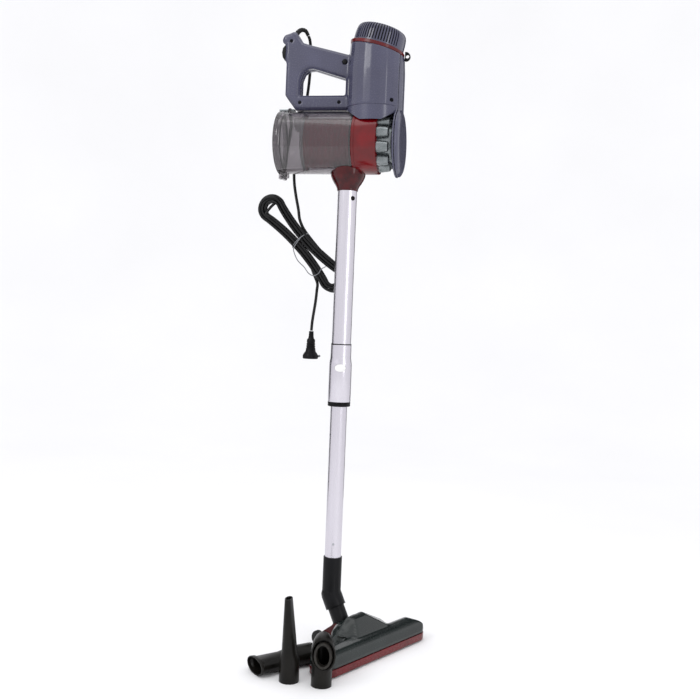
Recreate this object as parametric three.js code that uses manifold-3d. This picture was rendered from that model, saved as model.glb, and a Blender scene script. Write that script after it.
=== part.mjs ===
// Corded stick vacuum cleaner: floor head, telescopic tube, cyclone cup, hand unit, mains cord and tools.
// Millimetres, +Z up. The tube's axis is x = 0, y = 0 while the parts are built; +X is the motor side.
import * as THREE from 'three';
import { mergeVertices } from 'three/addons/utils/BufferGeometryUtils.js';
import Module from 'manifold-3d';

const wasm = await Module();
wasm.setup();

// ---------------------------------------------------------------- driving dimensions
const GAP = 0.3;
const PRESS = 0.15;

const HEAD = {
  yaw: -28, back: 66, front: 118, half: 143, corner: 22, band: 3, bandTop: 15, top: 38, wall: 2.4,
  soleZ: 3, soleThick: 4, mouthX: 92, mouthHalf: 9, mouthLength: 220, humpX: 52, humpTop: 62,
  humpHalfX: 34, humpHalfY: 50, slotX: 47, runnerInset: 8, runnerWidth: 9,
  stripOffset: 15, stripWidth: 4, stripLift: 0.6,
};
const CARRIAGE = { cheekIn: 16, cheekThick: 4, reach: 12, toe: 78, toeTop: 20, deck: 4 };
const WHEEL = { radius: 13, width: 10, x: -5, axle: 2, groove: 2 };
const NECK = {
  slant: 30, bendZ: 88, cuff: 18.5, cuffLength: 24, socket: 17, socketTop: 156, stopZ: 100,
  airway: 12.5, pipe: 15, pipeStart: 10, barrelAt: 62, barrel: 14, barrelHalf: 15.7, pin: 3, duct: 9,
};
const CUP = {
  z: 906, radius: 56, wall: 2.2, lidX: -124, endX: 12, beadHeight: 1.5, beadLength: 5, leadIn: 1,
};
const TUBE = {
  outer: 17.5, inner: 15, wall: 1.2, innerTop: 500, outerTop: CUP.z - CUP.radius - 1, endZ: 429, endHeight: 8,
  bushZ: 441, bushHeight: 30, notch: 3.2, notchStep: 47, notchCount: 5, notchZ: 215,
};
const SLEEVE = { fat: TUBE.outer + 3, thin: TUBE.outer + 1.1, flareZ: 506, thinZ: 516, top: 540, band: 1.8 };
const LATCH = {
  turn: -79, z: 499, halfWidth: 10, halfHeight: 6.8, from: SLEEVE.fat - 1.3, to: SLEEVE.fat + 2.1,
};
const BELL = {
  mouthZ: CUP.z - CUP.radius - 31, rim: TUBE.outer + 1.5, shoulder: TUBE.outer + 13.5, rise: 61, port: 11,
};
const SNAP = {
  turn: -43, z: BELL.mouthZ - 14, radius: 4, from: TUBE.outer - 3.5, to: TUBE.outer + 2,
  leaf: 0.9, leafWidth: 6,
  leafAt: TUBE.outer - 6.3, leafRise: 31,
};
const LID = { flange: 4.7, dome: 12, domeR: CUP.radius - 2.5, plugDepth: 6, plugWall: 2, seal: 2.7 };
const HINGE = { x: -121, z: CUP.z - CUP.radius - 7, barrel: 4.5, pin: 1.6, half: 5, lug: 5 };
const CATCH = {
  x: -112, z: CUP.z + CUP.radius + 4, thick: 3, half: 7, tail: 8, ear: 2.2, pin: 1.5, hook: 2.7, drop: 0.6,
};
const CYCLONE = { endX: 57, wall: 2.5, plate: 3, port: 26, sealWall: 3, sealHalf: 3.5 };
const SHROUD = { radius: 44, wall: 2, x: -80, skirt: 50, skirtLength: 3.7, foamWall: 10 };
const CROWN = { endX: 86, core: 36, cones: 10, coneAt: 41, cone: 11, finder: 4, bore: 12 };
const BARREL = { x: 45, low: 52, high: 48, floorZ: 966, taperZ: 1030, topZ: 1100, wall: 3 };
const DUCT = { endX: BARREL.x + BARREL.low + 1.5, radius: CUP.radius + 6, wall: 2.4, port: 36, splitX: 90 };
const SLANT = { tilt: 14, z: 1076, ring: 6, ringR: BARREL.high + 1, ringHole: BARREL.high - 8 };
const CAP = {
  radius: BARREL.high - 1.5, height: 38, wall: 2.6, slots: 8, slotWidth: 2.4, slotLow: 9, slotHigh: 26,
};
const FILTER = { outer: 38, inner: 16, low: 5, high: 28 };
const MOTOR = { radius: 33, low: 1006, high: 1056, shaft: 2.5, shaftTop: 1040, mountZ: 1012, mountHeight: 8 };
const FAN = { radius: 38, z: 985, disc: 3, blade: 9, blades: 7, bladeThick: 1.6, hub: 8 };
const HANDLE = { half: 17, bevel: 5, wall: 3 };
const SWITCH = { half: 8, travel: 2, low: 1055, high: 1087, back: -119 };
const RELEASE = { x: -11, z: 1050, radius: 4.5, proud: 1.4, depth: 8, play: 4 };
const SCREW = { head: 3.2, headHeight: 2.1, shank: 1.6, length: 21, boss: 5.5, sink: 0.6 };
const EYE = { x: BARREL.x + BARREL.low, z: 1062, radius: 8.5, holeShift: 3.2, hole: 3.4, half: 3 };
const CORD = { radius: 2.75, sides: 8, dropSteps: 26, tailSteps: 7 };
const RELIEF = { root: 4.8, tip: 3.3, sides: 10, steps: 8 };
const HANK = { x: -92, y: 47, z: 727, turn: 46, half: 116, lobe: 27, pinch: 8, thick: 20 };
const PLUG = {
  x: -68, y: 47, topZ: 562, length: 52, neck: 4.2, grip: 9, flare: 14.5, pin: 2.4, pinLength: 19, pinGap: 19,
};
// The loose tools stand by the near front corner of the floor head: [x, y] from that corner.
const CREVICE = { from: [-62, -11.4], height: 133, wall: 1.8 };
const BRUSH = { from: [-8, -13.4], socket: 17, bore: 15, mouthY: -20, turnOut: 6, wall: 2, bristle: 5 };
const NOZZLE = { from: [-123, -2.4], turn: 44, length: 108, socket: 17.5, wall: 2 };

const X = new THREE.Vector3(1, 0, 0);
const Y = new THREE.Vector3(0, 1, 0);
const Z = new THREE.Vector3(0, 0, 1);
const DEG = Math.PI / 180;
const WELD = 1e-4;
const FAR = 1500;
const BROAD = 24;
const ROUND = 16;
const SMALL = 8;

// ---------------------------------------------------------------- solids and placing
function solidOf(geometry) {
  const bare = new THREE.BufferGeometry();
  bare.setAttribute('position', geometry.getAttribute('position'));
  bare.setIndex(geometry.getIndex());
  const welded = mergeVertices(bare, WELD);
  const corners = welded.getIndex().array;
  const triangles = [];
  for (let i = 0; i < corners.length; i += 3) {
    const [a, b, c] = [corners[i], corners[i + 1], corners[i + 2]];
    if (a !== b && b !== c && c !== a) triangles.push(a, b, c);
  }
  const vertProperties = Float32Array.from(welded.getAttribute('position').array);
  const make = (order) => new wasm.Manifold(
    new wasm.Mesh({ numProp: 3, vertProperties, triVerts: Uint32Array.from(order) }));
  const solid = make(triangles);
  return solid.volume() > 0 ? solid : make(triangles.slice().reverse());
}

function along(geometry, axis, at) {
  geometry.applyQuaternion(new THREE.Quaternion().setFromUnitVectors(Y, axis.clone().normalize()));
  geometry.translate(...at);
  return solidOf(geometry);
}

// A round bar whose middle is at `at`.
function rod(axis, at, radius, length, sides = ROUND) {
  return along(new THREE.CylinderGeometry(radius, radius, length, sides), axis, at);
}

// A round bar from `at` to a distance `length` along `axis`.
function reach(axis, at, radius, length, sides = ROUND) {
  const unit = axis.clone().normalize();
  const middle = unit.multiplyScalar(length / 2).add(new THREE.Vector3(...at));
  return rod(axis, middle.toArray(), radius, length, sides);
}

// A turned part: the profile lists [radius, distance along the axis] and closes on itself or on the axis.
function turned(axis, at, profile, sides = ROUND) {
  const closed = profile[0][0] === 0 ? profile : [...profile, profile[0]];
  const points = closed.map(([radius, height]) => new THREE.Vector2(radius, height));
  return along(new THREE.LatheGeometry(points, sides), axis, at);
}

function ring(axis, at, outer, inner, length, sides = ROUND) {
  return turned(axis, at, [[inner, 0], [outer, 0], [outer, length], [inner, length]], sides);
}

function block(low, high) {
  const size = high.map((value, i) => value - low[i]);
  const geometry = new THREE.BoxGeometry(...size);
  geometry.translate(...low.map((value, i) => value + size[i] / 2));
  return solidOf(geometry);
}

// A flat outline in x and y, from z = low to z = high.
function plate(shape, low, high, curveSegments = 4) {
  const depth = high - low;
  const geometry = new THREE.ExtrudeGeometry(shape, { depth, bevelEnabled: false, curveSegments });
  geometry.translate(0, 0, low);
  return solidOf(geometry);
}

// A flat outline in x and z, from y = -half to y = +half, with its edges bevelled.
function cheek(shape, half, bevel = 0, inset = 0) {
  const geometry = new THREE.ExtrudeGeometry(shape, {
    depth: 2 * (half - bevel), bevelEnabled: bevel > 0, bevelThickness: bevel, bevelSize: bevel,
    bevelOffset: -bevel - inset, bevelSegments: 1, curveSegments: 5,
  });
  geometry.translate(0, 0, -(half - bevel));
  geometry.rotateX(90 * DEG);
  return solidOf(geometry);
}

function outline(points) {
  return new THREE.Shape(points.map(([x, y]) => new THREE.Vector2(x, y)));
}

function roundedRect(x0, x1, y0, y1, radius) {
  const shape = new THREE.Shape();
  shape.moveTo(x0 + radius, y0);
  shape.lineTo(x1 - radius, y0);
  shape.absarc(x1 - radius, y0 + radius, radius, -90 * DEG, 0);
  shape.lineTo(x1, y1 - radius);
  shape.absarc(x1 - radius, y1 - radius, radius, 0, 90 * DEG);
  shape.lineTo(x0 + radius, y1);
  shape.absarc(x0 + radius, y1 - radius, radius, 90 * DEG, 180 * DEG);
  shape.lineTo(x0, y0 + radius);
  shape.absarc(x0 + radius, y0 + radius, radius, 180 * DEG, 270 * DEG);
  return shape;
}

// A skin through rings of equal point count, closed at both ends.
function loft(rings) {
  const count = rings[0].length;
  const positions = rings.flat().flatMap((point) => point.toArray());
  const triangles = [];
  for (let row = 0; row < rings.length - 1; row += 1) {
    for (let i = 0; i < count; i += 1) {
      const [a, b] = [row * count + i, row * count + ((i + 1) % count)];
      triangles.push(a, b, b + count, a, b + count, a + count);
    }
  }
  const last = (rings.length - 1) * count;
  for (let i = 1; i < count - 1; i += 1) {
    triangles.push(0, i + 1, i, last, last + i, last + i + 1);
  }
  const geometry = new THREE.BufferGeometry();
  geometry.setAttribute('position', new THREE.Float32BufferAttribute(positions, 3));
  geometry.setIndex(triangles);
  return solidOf(geometry);
}

// An oval ring of points about `at`, with half-sizes along the directions `across` and `up`.
function oval(at, across, halfAcross, up, halfUp, sides = ROUND) {
  return Array.from({ length: sides }, (_, i) => {
    const angle = (2 * Math.PI * i) / sides;
    return new THREE.Vector3(...at)
      .addScaledVector(across, halfAcross * Math.cos(angle))
      .addScaledVector(up, halfUp * Math.sin(angle));
  });
}

// A round cord along a smooth curve through the points.
function cordTube(points, steps) {
  const path = new THREE.CatmullRomCurve3(points.map((point) => new THREE.Vector3(...point)));
  const section = outline(Array.from({ length: CORD.sides }, (_, i) => {
    const angle = (2 * Math.PI * i) / CORD.sides;
    return [CORD.radius * Math.cos(angle), CORD.radius * Math.sin(angle)];
  }));
  return solidOf(new THREE.ExtrudeGeometry(section, { steps, bevelEnabled: false, extrudePath: path }));
}

function joined(first, ...others) {
  return others.reduce((whole, piece) => whole.add(piece), first);
}

function cut(first, ...tools) {
  return tools.reduce((whole, tool) => whole.subtract(tool), first);
}

function geometryOf(solid) {
  const mesh = solid.getMesh();
  const positions = new Float32Array(mesh.numVert * 3);
  for (let i = 0; i < mesh.numVert; i += 1) {
    for (let k = 0; k < 3; k += 1) positions[3 * i + k] = mesh.vertProperties[i * mesh.numProp + k];
  }
  const geometry = new THREE.BufferGeometry();
  geometry.setAttribute('position', new THREE.BufferAttribute(positions, 3));
  geometry.setIndex(new THREE.BufferAttribute(Uint32Array.from(mesh.triVerts), 1));
  geometry.computeVertexNormals();
  return geometry;
}

// ---------------------------------------------------------------- finishes
const finish = (color, roughness, metalness = 0, opacity = 1) => new THREE.MeshStandardMaterial({
  color, roughness, metalness, opacity, transparent: opacity < 1,
});
const SLATE = () => finish('#4b4b64', 0.3);
const STRIP = () => finish('#6f6f80', 0.35);
const BLACK = () => finish('#16161a', 0.5);
const RUBBER = () => finish('#1b1b1b', 0.8);
const ALUMINIUM = () => finish('#c9c4d2', 0.28, 1);
const STEEL = () => finish('#a8a8ac', 0.35, 1);
const CLEAR = () => finish('#b9bcc4', 0.08, 0, 0.35);
const RED_CLEAR = () => finish('#7d0a14', 0.1, 0, 0.8);
const RED = () => finish('#8c1420', 0.35);
const DARK_GREEN = () => finish('#3f4746', 0.3);
const SILVER = () => finish('#8e9296', 0.3, 0.6);
const WHITE = () => finish('#e6e6e6', 0.4);
const FOAM = () => finish('#5a2a34', 0.95);

const model = new THREE.Group();
const head = new THREE.Group();
head.rotation.z = HEAD.yaw * DEG;
const hank = new THREE.Group();
hank.position.set(HANK.x, HANK.y, HANK.z);
hank.rotation.y = HANK.turn * DEG;
model.add(head, hank);

function add(parent, name, solid, material) {
  const mesh = new THREE.Mesh(geometryOf(solid), material);
  mesh.name = name;
  parent.add(mesh);
}

// ---------------------------------------------------------------- floor head
// The cover's outer form shrunk by `inset`: a long bar with sloped sides and a hump for the neck.
function coverForm(inset) {
  const low = HEAD.bandTop + GAP - (inset > 0 ? 1 : 0);
  const [x0, x1, top] = [HEAD.back + inset, HEAD.front - inset, HEAD.top - inset];
  const half = HEAD.half - inset;
  const plan = plate(roundedRect(x0, x1, -half, half, HEAD.corner - inset), low, top);
  const section = outline([
    [x0, low], [x1, low], [x1 - 1, 22 - inset], [x1 - 7, 30 - inset], [x1 - 18, 36 - inset],
    [x1 - 36, top], [x0 + 14, top - 1], [x0 + 2, 31 - inset],
  ]);
  const ends = outline([
    [-half, low], [half, low], [half - 1, 24 - inset], [half - 9, 33 - inset], [half - 25, top],
    [25 - half, top], [9 - half, 33 - inset], [1 - half, 24 - inset],
  ]);
  const endForm = new THREE.ExtrudeGeometry(ends, { depth: FAR, bevelEnabled: false });
  endForm.rotateX(90 * DEG);
  endForm.rotateZ(90 * DEG);
  endForm.translate(-FAR / 2, 0, 0);
  const bar = plan.intersect(cheek(section, half)).intersect(solidOf(endForm));
  const hump = new THREE.SphereGeometry(1, ROUND, SMALL);
  hump.scale(HEAD.humpHalfX - inset, HEAD.humpHalfY - inset, HEAD.humpTop - HEAD.bandTop - inset);
  hump.translate(HEAD.humpX, 0, HEAD.bandTop);
  const above = block([-FAR, -FAR, low], [FAR, FAR, FAR]);
  return bar.add(solidOf(hump).intersect(above));
}

function neckDirection() {
  return new THREE.Vector3(Math.sin(NECK.slant * DEG), 0, -Math.cos(NECK.slant * DEG));
}

function neckPoint(distance) {
  return neckDirection().multiplyScalar(distance).add(new THREE.Vector3(0, 0, NECK.bendZ)).toArray();
}

const HINGE_AT = neckPoint(NECK.barrelAt);
const CHEEK_OUT = CARRIAGE.cheekIn + CARRIAGE.cheekThick;

function headCover() {
  const slot = block([-FAR, -CHEEK_OUT - GAP, 0], [HEAD.slotX, CHEEK_OUT + GAP, FAR]);
  return cut(coverForm(0), coverForm(HEAD.wall), slot);
}

function bumperFrame() {
  const { back, front, half, corner, band, soleZ, bandTop } = HEAD;
  const outer = plate(roundedRect(back, front, -half, half, corner), soleZ, bandTop);
  const hole = plate(
    roundedRect(back + band, front - band, band - half, half - band, corner - band), 0, bandTop + 1);
  const notch = block(
    [0, -CHEEK_OUT - GAP, soleZ + HEAD.soleThick], [back + band + 1, CHEEK_OUT + GAP, bandTop + 1]);
  return cut(outer, hole, notch);
}

function solePlate() {
  const { back, front, half, corner, band, soleZ, soleThick, mouthX, mouthHalf, mouthLength } = HEAD;
  const edge = band + GAP;
  const outer = plate(
    roundedRect(back + edge, front - edge, edge - half, half - edge, corner - edge),
    soleZ, soleZ + soleThick);
  const mouth = block([mouthX - mouthHalf, -mouthLength / 2, 0], [mouthX + mouthHalf, mouthLength / 2, FAR]);
  return cut(outer, mouth);
}

function glideRunner(side) {
  const { back, front, runnerInset, runnerWidth, mouthLength, soleZ } = HEAD;
  const inner = side * (mouthLength / 2 + 4);
  const outer = inner + side * runnerWidth;
  return block([back + runnerInset, Math.min(inner, outer), 0],
    [front - runnerInset, Math.max(inner, outer), soleZ - GAP]);
}

function brushStrip(x) {
  const { stripWidth, mouthLength, soleZ, stripLift } = HEAD;
  return block(
    [x - stripWidth / 2, -mouthLength / 2, stripLift], [x + stripWidth / 2, mouthLength / 2, soleZ - GAP]);
}

function rearCarriage() {
  const low = HEAD.soleZ + HEAD.soleThick + GAP;
  const { radius, x, axle } = WHEEL;
  const { reach: back, toe, toeTop, cheekIn, cheekThick, deck } = CARRIAGE;
  const [pivotX, , pivotZ] = HINGE_AT;
  const side = outline([
    [x - back + 5, low], [toe, low], [toe, toeTop], [HEAD.slotX - GAP, pivotZ], [pivotX + 6, pivotZ + 10],
    [pivotX - 5, pivotZ + 10], [x, radius + 8], [x - back + 3, radius + 4],
  ]);
  const cheeks = cheek(side, cheekIn + cheekThick);
  const between = block([-FAR, -cheekIn, low + deck], [FAR, cheekIn, FAR]);
  const behind = block([-FAR, -cheekIn, 0], [pivotX - 6, cheekIn, FAR]);
  return cut(cheeks, between, behind,
    rod(Y, HINGE_AT, NECK.pin + GAP, FAR, SMALL), rod(Y, [x, 0, radius], axle + GAP, FAR, SMALL));
}

function wheel(side) {
  const { radius, width, groove, axle, x } = WHEEL;
  const inner = CHEEK_OUT + 1;
  const bore = axle + GAP;
  const profile = [
    [bore, 0], [radius - 4, 0], [radius - 1, 1], [radius, groove], [radius, width - groove],
    [radius - 1, width - 1], [radius - 4, width], [radius - 5, width - 1.5], [bore + 3, width - 1.5],
    [bore + 2.5, width], [bore, width],
  ];
  return turned(new THREE.Vector3(0, side, 0), [x, side * inner, radius], profile, ROUND);
}

function tiltPin(side) {
  const start = NECK.barrelHalf - 5;
  return reach(new THREE.Vector3(0, side, 0), [HINGE_AT[0], side * start, HINGE_AT[2]],
    NECK.pin, CHEEK_OUT - start, SMALL);
}

function neckPipe() {
  const { pipe, pipeStart, barrel, barrelHalf, barrelAt, airway, pin, duct } = NECK;
  const down = neckDirection();
  const outer = reach(down, neckPoint(pipeStart + GAP), pipe, barrelAt - pipeStart - 9);
  const trunnion = rod(Y, HINGE_AT, barrel, 2 * barrelHalf);
  return cut(joined(outer, trunnion),
    reach(down, neckPoint(0), airway - 1.5, barrelAt),
    reach(X, HINGE_AT, duct, 2 * barrel, ROUND),
    rod(Y, HINGE_AT, pin + GAP, FAR, SMALL));
}

function neckSocket() {
  const { cuff, cuffLength, socket, socketTop, bendZ, stopZ, airway, pipe, pipeStart } = NECK;
  const down = neckDirection();
  const elbow = new THREE.SphereGeometry(cuff, ROUND, SMALL);
  elbow.rotateX(90 * DEG);
  elbow.translate(0, 0, bendZ);
  const body = joined(
    reach(Z, [0, 0, bendZ], socket, socketTop - bendZ),
    solidOf(elbow),
    reach(down, neckPoint(0), cuff, cuffLength));
  return cut(body,
    reach(Z, [0, 0, stopZ], TUBE.inner + GAP, FAR),
    reach(Z, [0, 0, bendZ], airway, stopZ - bendZ + 1),
    reach(down, neckPoint(-1), airway, pipeStart + 2),
    reach(down, neckPoint(pipeStart), pipe + GAP, FAR));
}

function buildHead() {
  const { mouthX, stripOffset } = HEAD;
  add(head, 'head_cover', headCover(), DARK_GREEN());
  add(head, 'bumper_frame', bumperFrame(), RED());
  add(head, 'sole_plate', solePlate(), BLACK());
  add(head, 'glide_left', glideRunner(-1), BLACK());
  add(head, 'glide_right', glideRunner(1), BLACK());
  add(head, 'brush_strip_rear', brushStrip(mouthX - stripOffset), RUBBER());
  add(head, 'brush_strip_front', brushStrip(mouthX + stripOffset), RUBBER());
  add(head, 'rear_carriage', rearCarriage(), BLACK());
  add(head, 'wheel_left', wheel(-1), RUBBER());
  add(head, 'wheel_right', wheel(1), RUBBER());
  const axleLength = 2 * (CHEEK_OUT + WHEEL.width);
  add(head, 'wheel_axle', rod(Y, [WHEEL.x, 0, WHEEL.radius], WHEEL.axle, axleLength, SMALL), STEEL());
  add(head, 'tilt_pin_left', tiltPin(-1), STEEL());
  add(head, 'tilt_pin_right', tiltPin(1), STEEL());
  add(head, 'neck_pipe', neckPipe(), BLACK());
  add(head, 'neck_socket', neckSocket(), BLACK());
}

// ---------------------------------------------------------------- telescopic tube
function turnedDirection(degrees) {
  return new THREE.Vector3(Math.cos(degrees * DEG), Math.sin(degrees * DEG), 0);
}

function lowerTube() {
  const { inner, wall, innerTop, notch, notchStep, notchCount, notchZ } = TUBE;
  const start = NECK.stopZ + GAP;
  const notches = Array.from({ length: notchCount }, (_, i) => (
    reach(Y, [0, 0, notchZ + i * notchStep], notch, FAR, SMALL)));
  return cut(ring(Z, [0, 0, start], inner, inner - wall, innerTop - start), ...notches);
}

function upperTube() {
  const { outer, wall, endZ, endHeight, outerTop } = TUBE;
  const start = endZ + endHeight + GAP;
  const body = ring(Z, [0, 0, start], outer, outer - wall, outerTop - start);
  return cut(body, reach(turnedDirection(SNAP.turn), [0, 0, SNAP.z], SNAP.radius + GAP, FAR, SMALL));
}

function latchOval(growth, from, to) {
  const out = turnedDirection(LATCH.turn);
  const side = turnedDirection(LATCH.turn + 90);
  return loft([from, to].map((distance) => oval(
    out.clone().multiplyScalar(distance).add(new THREE.Vector3(0, 0, LATCH.z)).toArray(),
    side, LATCH.halfWidth + growth, Z, LATCH.halfHeight + growth)));
}

function tubeSleeve() {
  const { fat, thin, flareZ, thinZ, top } = SLEEVE;
  const bore = TUBE.outer + GAP;
  const start = TUBE.endZ + TUBE.endHeight + GAP;
  const body = turned(Z, [0, 0, 0], [
    [bore, start], [fat, start], [fat, flareZ], [thin, thinZ], [thin, top], [bore, top],
  ]);
  return cut(body, latchOval(GAP, 0, FAR));
}

function snapLeaf() {
  const { leaf, leafWidth, leafAt, leafRise, z } = SNAP;
  const leafTop = z + leafRise;
  const wall = TUBE.outer - TUBE.wall - 1;
  const strip = outline([
    [leafAt - leaf, z - 12], [leafAt, z - 12], [leafAt, z + 8], [0, leafTop], [-wall + leaf, z - 12],
    [-wall, z - 12], [-wall, z - 11], [-leaf / 2, leafTop + 2], [leaf, leafTop + 2], [leafAt + leaf, z + 9],
    [leafAt + leaf, z - 12 - leaf], [leafAt - leaf, z - 12 - leaf],
  ]);
  const geometry = new THREE.ExtrudeGeometry(strip, { depth: leafWidth, bevelEnabled: false });
  geometry.translate(0, 0, -leafWidth / 2);
  geometry.rotateX(90 * DEG);
  geometry.rotateZ(SNAP.turn * DEG);
  return solidOf(geometry);
}

function buildTube() {
  const { outer, inner, wall, endZ, endHeight, bushZ, bushHeight } = TUBE;
  const { z, turn, radius, from, to } = SNAP;
  const snapAxis = turnedDirection(turn);
  const snapStart = snapAxis.clone().multiplyScalar(from).setZ(z).toArray();
  add(model, 'lower_tube', lowerTube(), ALUMINIUM());
  add(model, 'tube_bushing', ring(Z, [0, 0, bushZ], outer - wall - GAP, inner + GAP, bushHeight), WHITE());
  add(model, 'end_ring', ring(Z, [0, 0, endZ], SLEEVE.fat, inner + GAP, endHeight), BLACK());
  add(model, 'upper_tube', upperTube(), ALUMINIUM());
  add(model, 'tube_sleeve', tubeSleeve(), ALUMINIUM());
  add(model, 'sleeve_band',
    ring(Z, [0, 0, SLEEVE.top + GAP], SLEEVE.thin, outer + GAP, SLEEVE.band), RUBBER());
  add(model, 'latch_button', latchOval(0, LATCH.from, LATCH.to), WHITE());
  add(model, 'snap_button', reach(snapAxis, snapStart, radius, to - from, SMALL), BLACK());
  add(model, 'snap_leaf', snapLeaf(), STEEL());
}

// ---------------------------------------------------------------- dust cup and cyclones
function inletSocket() {
  const { mouthZ, rim, shoulder, rise, port } = BELL;
  const top = mouthZ + rise;
  const body = turned(Z, [0, 0, 0], [
    [0, mouthZ], [rim, mouthZ], [rim + 1, mouthZ + 6], [rim + 6, mouthZ + 14], [shoulder, mouthZ + 26],
    [shoulder + 1, mouthZ + 37], [shoulder + 1, top], [0, top],
  ]);
  return cut(body,
    rod(X, [0, 0, CUP.z], CUP.radius + GAP, FAR, BROAD),
    reach(Z, [0, 0, 0], TUBE.outer + GAP, TUBE.outerTop + GAP),
    reach(Z, [0, 0, 0], port, top + 1));
}

function cupBody() {
  const { z, radius, wall, lidX, endX, beadHeight, beadLength, leadIn } = CUP;
  const bead = radius + beadHeight;
  const shell = turned(X, [0, 0, z], [
    [radius - wall + leadIn, lidX], [bead, lidX], [bead, lidX + beadLength], [radius, lidX + beadLength + 2],
    [radius, endX], [radius - wall, endX], [radius - wall, lidX + 2 * leadIn],
  ], BROAD);
  const lugs = cut(
    joined(
      rod(Y, [HINGE.x, 0, HINGE.z], HINGE.barrel, 2 * (HINGE.half + HINGE.lug), SMALL),
      block([HINGE.x, -HINGE.half - HINGE.lug, HINGE.z],
        [HINGE.x + HINGE.barrel, HINGE.half + HINGE.lug, z - radius + 1])),
    block([-FAR, -HINGE.half - GAP, 0], [FAR, HINGE.half + GAP, FAR]),
    block([-FAR, -FAR, z - radius - 0.2], [HINGE.x - 1, FAR, FAR]));
  const ears = cut(
    block([CATCH.x - 3, -CATCH.half - CATCH.ear, z + radius - 1.5],
      [CATCH.x + 3, CATCH.half + CATCH.ear, CATCH.z + 3]),
    block([-FAR, -CATCH.half - GAP, 0], [FAR, CATCH.half + GAP, FAR]));
  return cut(joined(shell, lugs, ears),
    rod(Y, [HINGE.x, 0, HINGE.z], HINGE.pin + GAP, FAR, SMALL),
    rod(Y, [CATCH.x, 0, CATCH.z], CATCH.pin + GAP, FAR, SMALL),
    reach(Z, [0, 0, BELL.mouthZ], BELL.port, CUP.z - BELL.mouthZ, ROUND));
}

function cupLid() {
  const { z, radius, wall, lidX, beadHeight } = CUP;
  const bead = radius + beadHeight;
  const { flange, dome, domeR, plugDepth, plugWall } = LID;
  const face = lidX - GAP;
  const plug = radius - wall - GAP;
  const shell = turned(X, [0, 0, z], [
    [0, face - dome], [domeR * 0.55, face - dome + 1.2], [domeR * 0.85, face - dome + 4],
    [domeR, face - flange], [bead, face - flange], [bead, face], [plug, face], [plug, face + plugDepth],
    [plug - plugWall, face + plugDepth], [plug - plugWall, face - flange + 1],
    [domeR * 0.82, face - dome + 4 + wall], [domeR * 0.52, face - dome + 1.2 + wall], [0, face - dome + wall],
  ], BROAD);
  const knuckle = joined(
    rod(Y, [HINGE.x, 0, HINGE.z], HINGE.barrel, 2 * HINGE.half, SMALL),
    block([face - flange, -HINGE.half, HINGE.z - 3], [HINGE.x, HINGE.half, HINGE.z + HINGE.barrel]),
    block([face - flange, -HINGE.half, HINGE.z - 3], [face, HINGE.half, z - bead + 2]));
  return cut(joined(shell, knuckle), rod(Y, [HINGE.x, 0, HINGE.z], HINGE.pin + GAP, FAR, SMALL));
}

function lidLatch() {
  const { x, z, thick, half, tail, ear, pin, hook, drop } = CATCH;
  const front = CUP.lidX - GAP - LID.flange - GAP;
  const low = z - thick / 2;
  return joined(
    block([front - hook, -half, low], [x + tail, half, low + thick]),
    block([front - hook, -half, low - drop], [front, half, low + 1]),
    rod(Y, [x, 0, z], pin, 2 * (half + ear), SMALL));
}

function cycloneHousing() {
  const { endX, wall, plate: thick, port } = CYCLONE;
  const start = CUP.endX + GAP;
  const bore = CUP.radius - wall;
  return turned(X, [0, 0, CUP.z], [
    [bore, start], [CUP.radius, start], [CUP.radius, endX], [port, endX], [port, endX - thick],
    [bore, endX - thick],
  ], BROAD);
}

function cycloneCrown() {
  const { endX, core, cones, coneAt, cone, finder, bore } = CROWN;
  const start = CYCLONE.endX + GAP;
  const length = endX - start;
  const places = Array.from({ length: cones }, (_, i) => {
    const angle = (2 * Math.PI * (i + 0.5)) / cones;
    return [start, coneAt * Math.cos(angle), CUP.z + coneAt * Math.sin(angle)];
  });
  const body = joined(
    reach(X, [start, 0, CUP.z], core, length),
    ...places.map((at) => reach(X, at, cone, length * 0.72, SMALL)));
  return cut(body,
    reach(X, [0, 0, CUP.z], bore, FAR, ROUND),
    ...places.map((at) => reach(X, [0, at[1], at[2]], finder, FAR, 6)));
}

function buildCup() {
  const { z, radius, wall } = CUP;
  const seal = LID.seal;
  const plug = radius - wall - GAP;
  const shroudEnd = CYCLONE.endX - CYCLONE.plate - GAP;
  const foam = SHROUD.radius - SHROUD.wall - GAP;
  const bore = radius - CYCLONE.wall - GAP;
  add(model, 'inlet_socket', inletSocket(), RED_CLEAR());
  add(model, 'cup_body', cupBody(), CLEAR());
  add(model, 'cup_lid', cupLid(), CLEAR());
  add(model, 'lid_seal', ring(X, [CUP.lidX + LID.plugDepth, 0, z], plug, plug - 4, seal, BROAD), RUBBER());
  add(model, 'lid_hinge_pin',
    rod(Y, [HINGE.x, 0, HINGE.z], HINGE.pin, 2 * (HINGE.half + HINGE.lug), SMALL), STEEL());
  add(model, 'lid_latch', lidLatch(), SILVER());
  add(model, 'cyclone_housing', cycloneHousing(), RED_CLEAR());
  add(model, 'cup_gasket',
    ring(X, [CUP.endX - CYCLONE.sealHalf, 0, z], bore, bore - CYCLONE.sealWall, 2 * CYCLONE.sealHalf, BROAD),
    RUBBER());
  add(model, 'cyclone_crown', cycloneCrown(), SILVER());
  add(model, 'cyclone_shroud', turned(X, [0, 0, z], [
    [foam + GAP, SHROUD.x], [SHROUD.skirt, SHROUD.x], [SHROUD.skirt, SHROUD.x + SHROUD.skirtLength],
    [SHROUD.radius, SHROUD.x + SHROUD.skirtLength], [SHROUD.radius, shroudEnd], [foam + GAP, shroudEnd],
  ]), RED());
  add(model, 'foam_filter',
    ring(X, [SHROUD.x + 6, 0, z], foam, foam - SHROUD.foamWall, shroudEnd - SHROUD.x - 10), FOAM());
}

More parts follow.
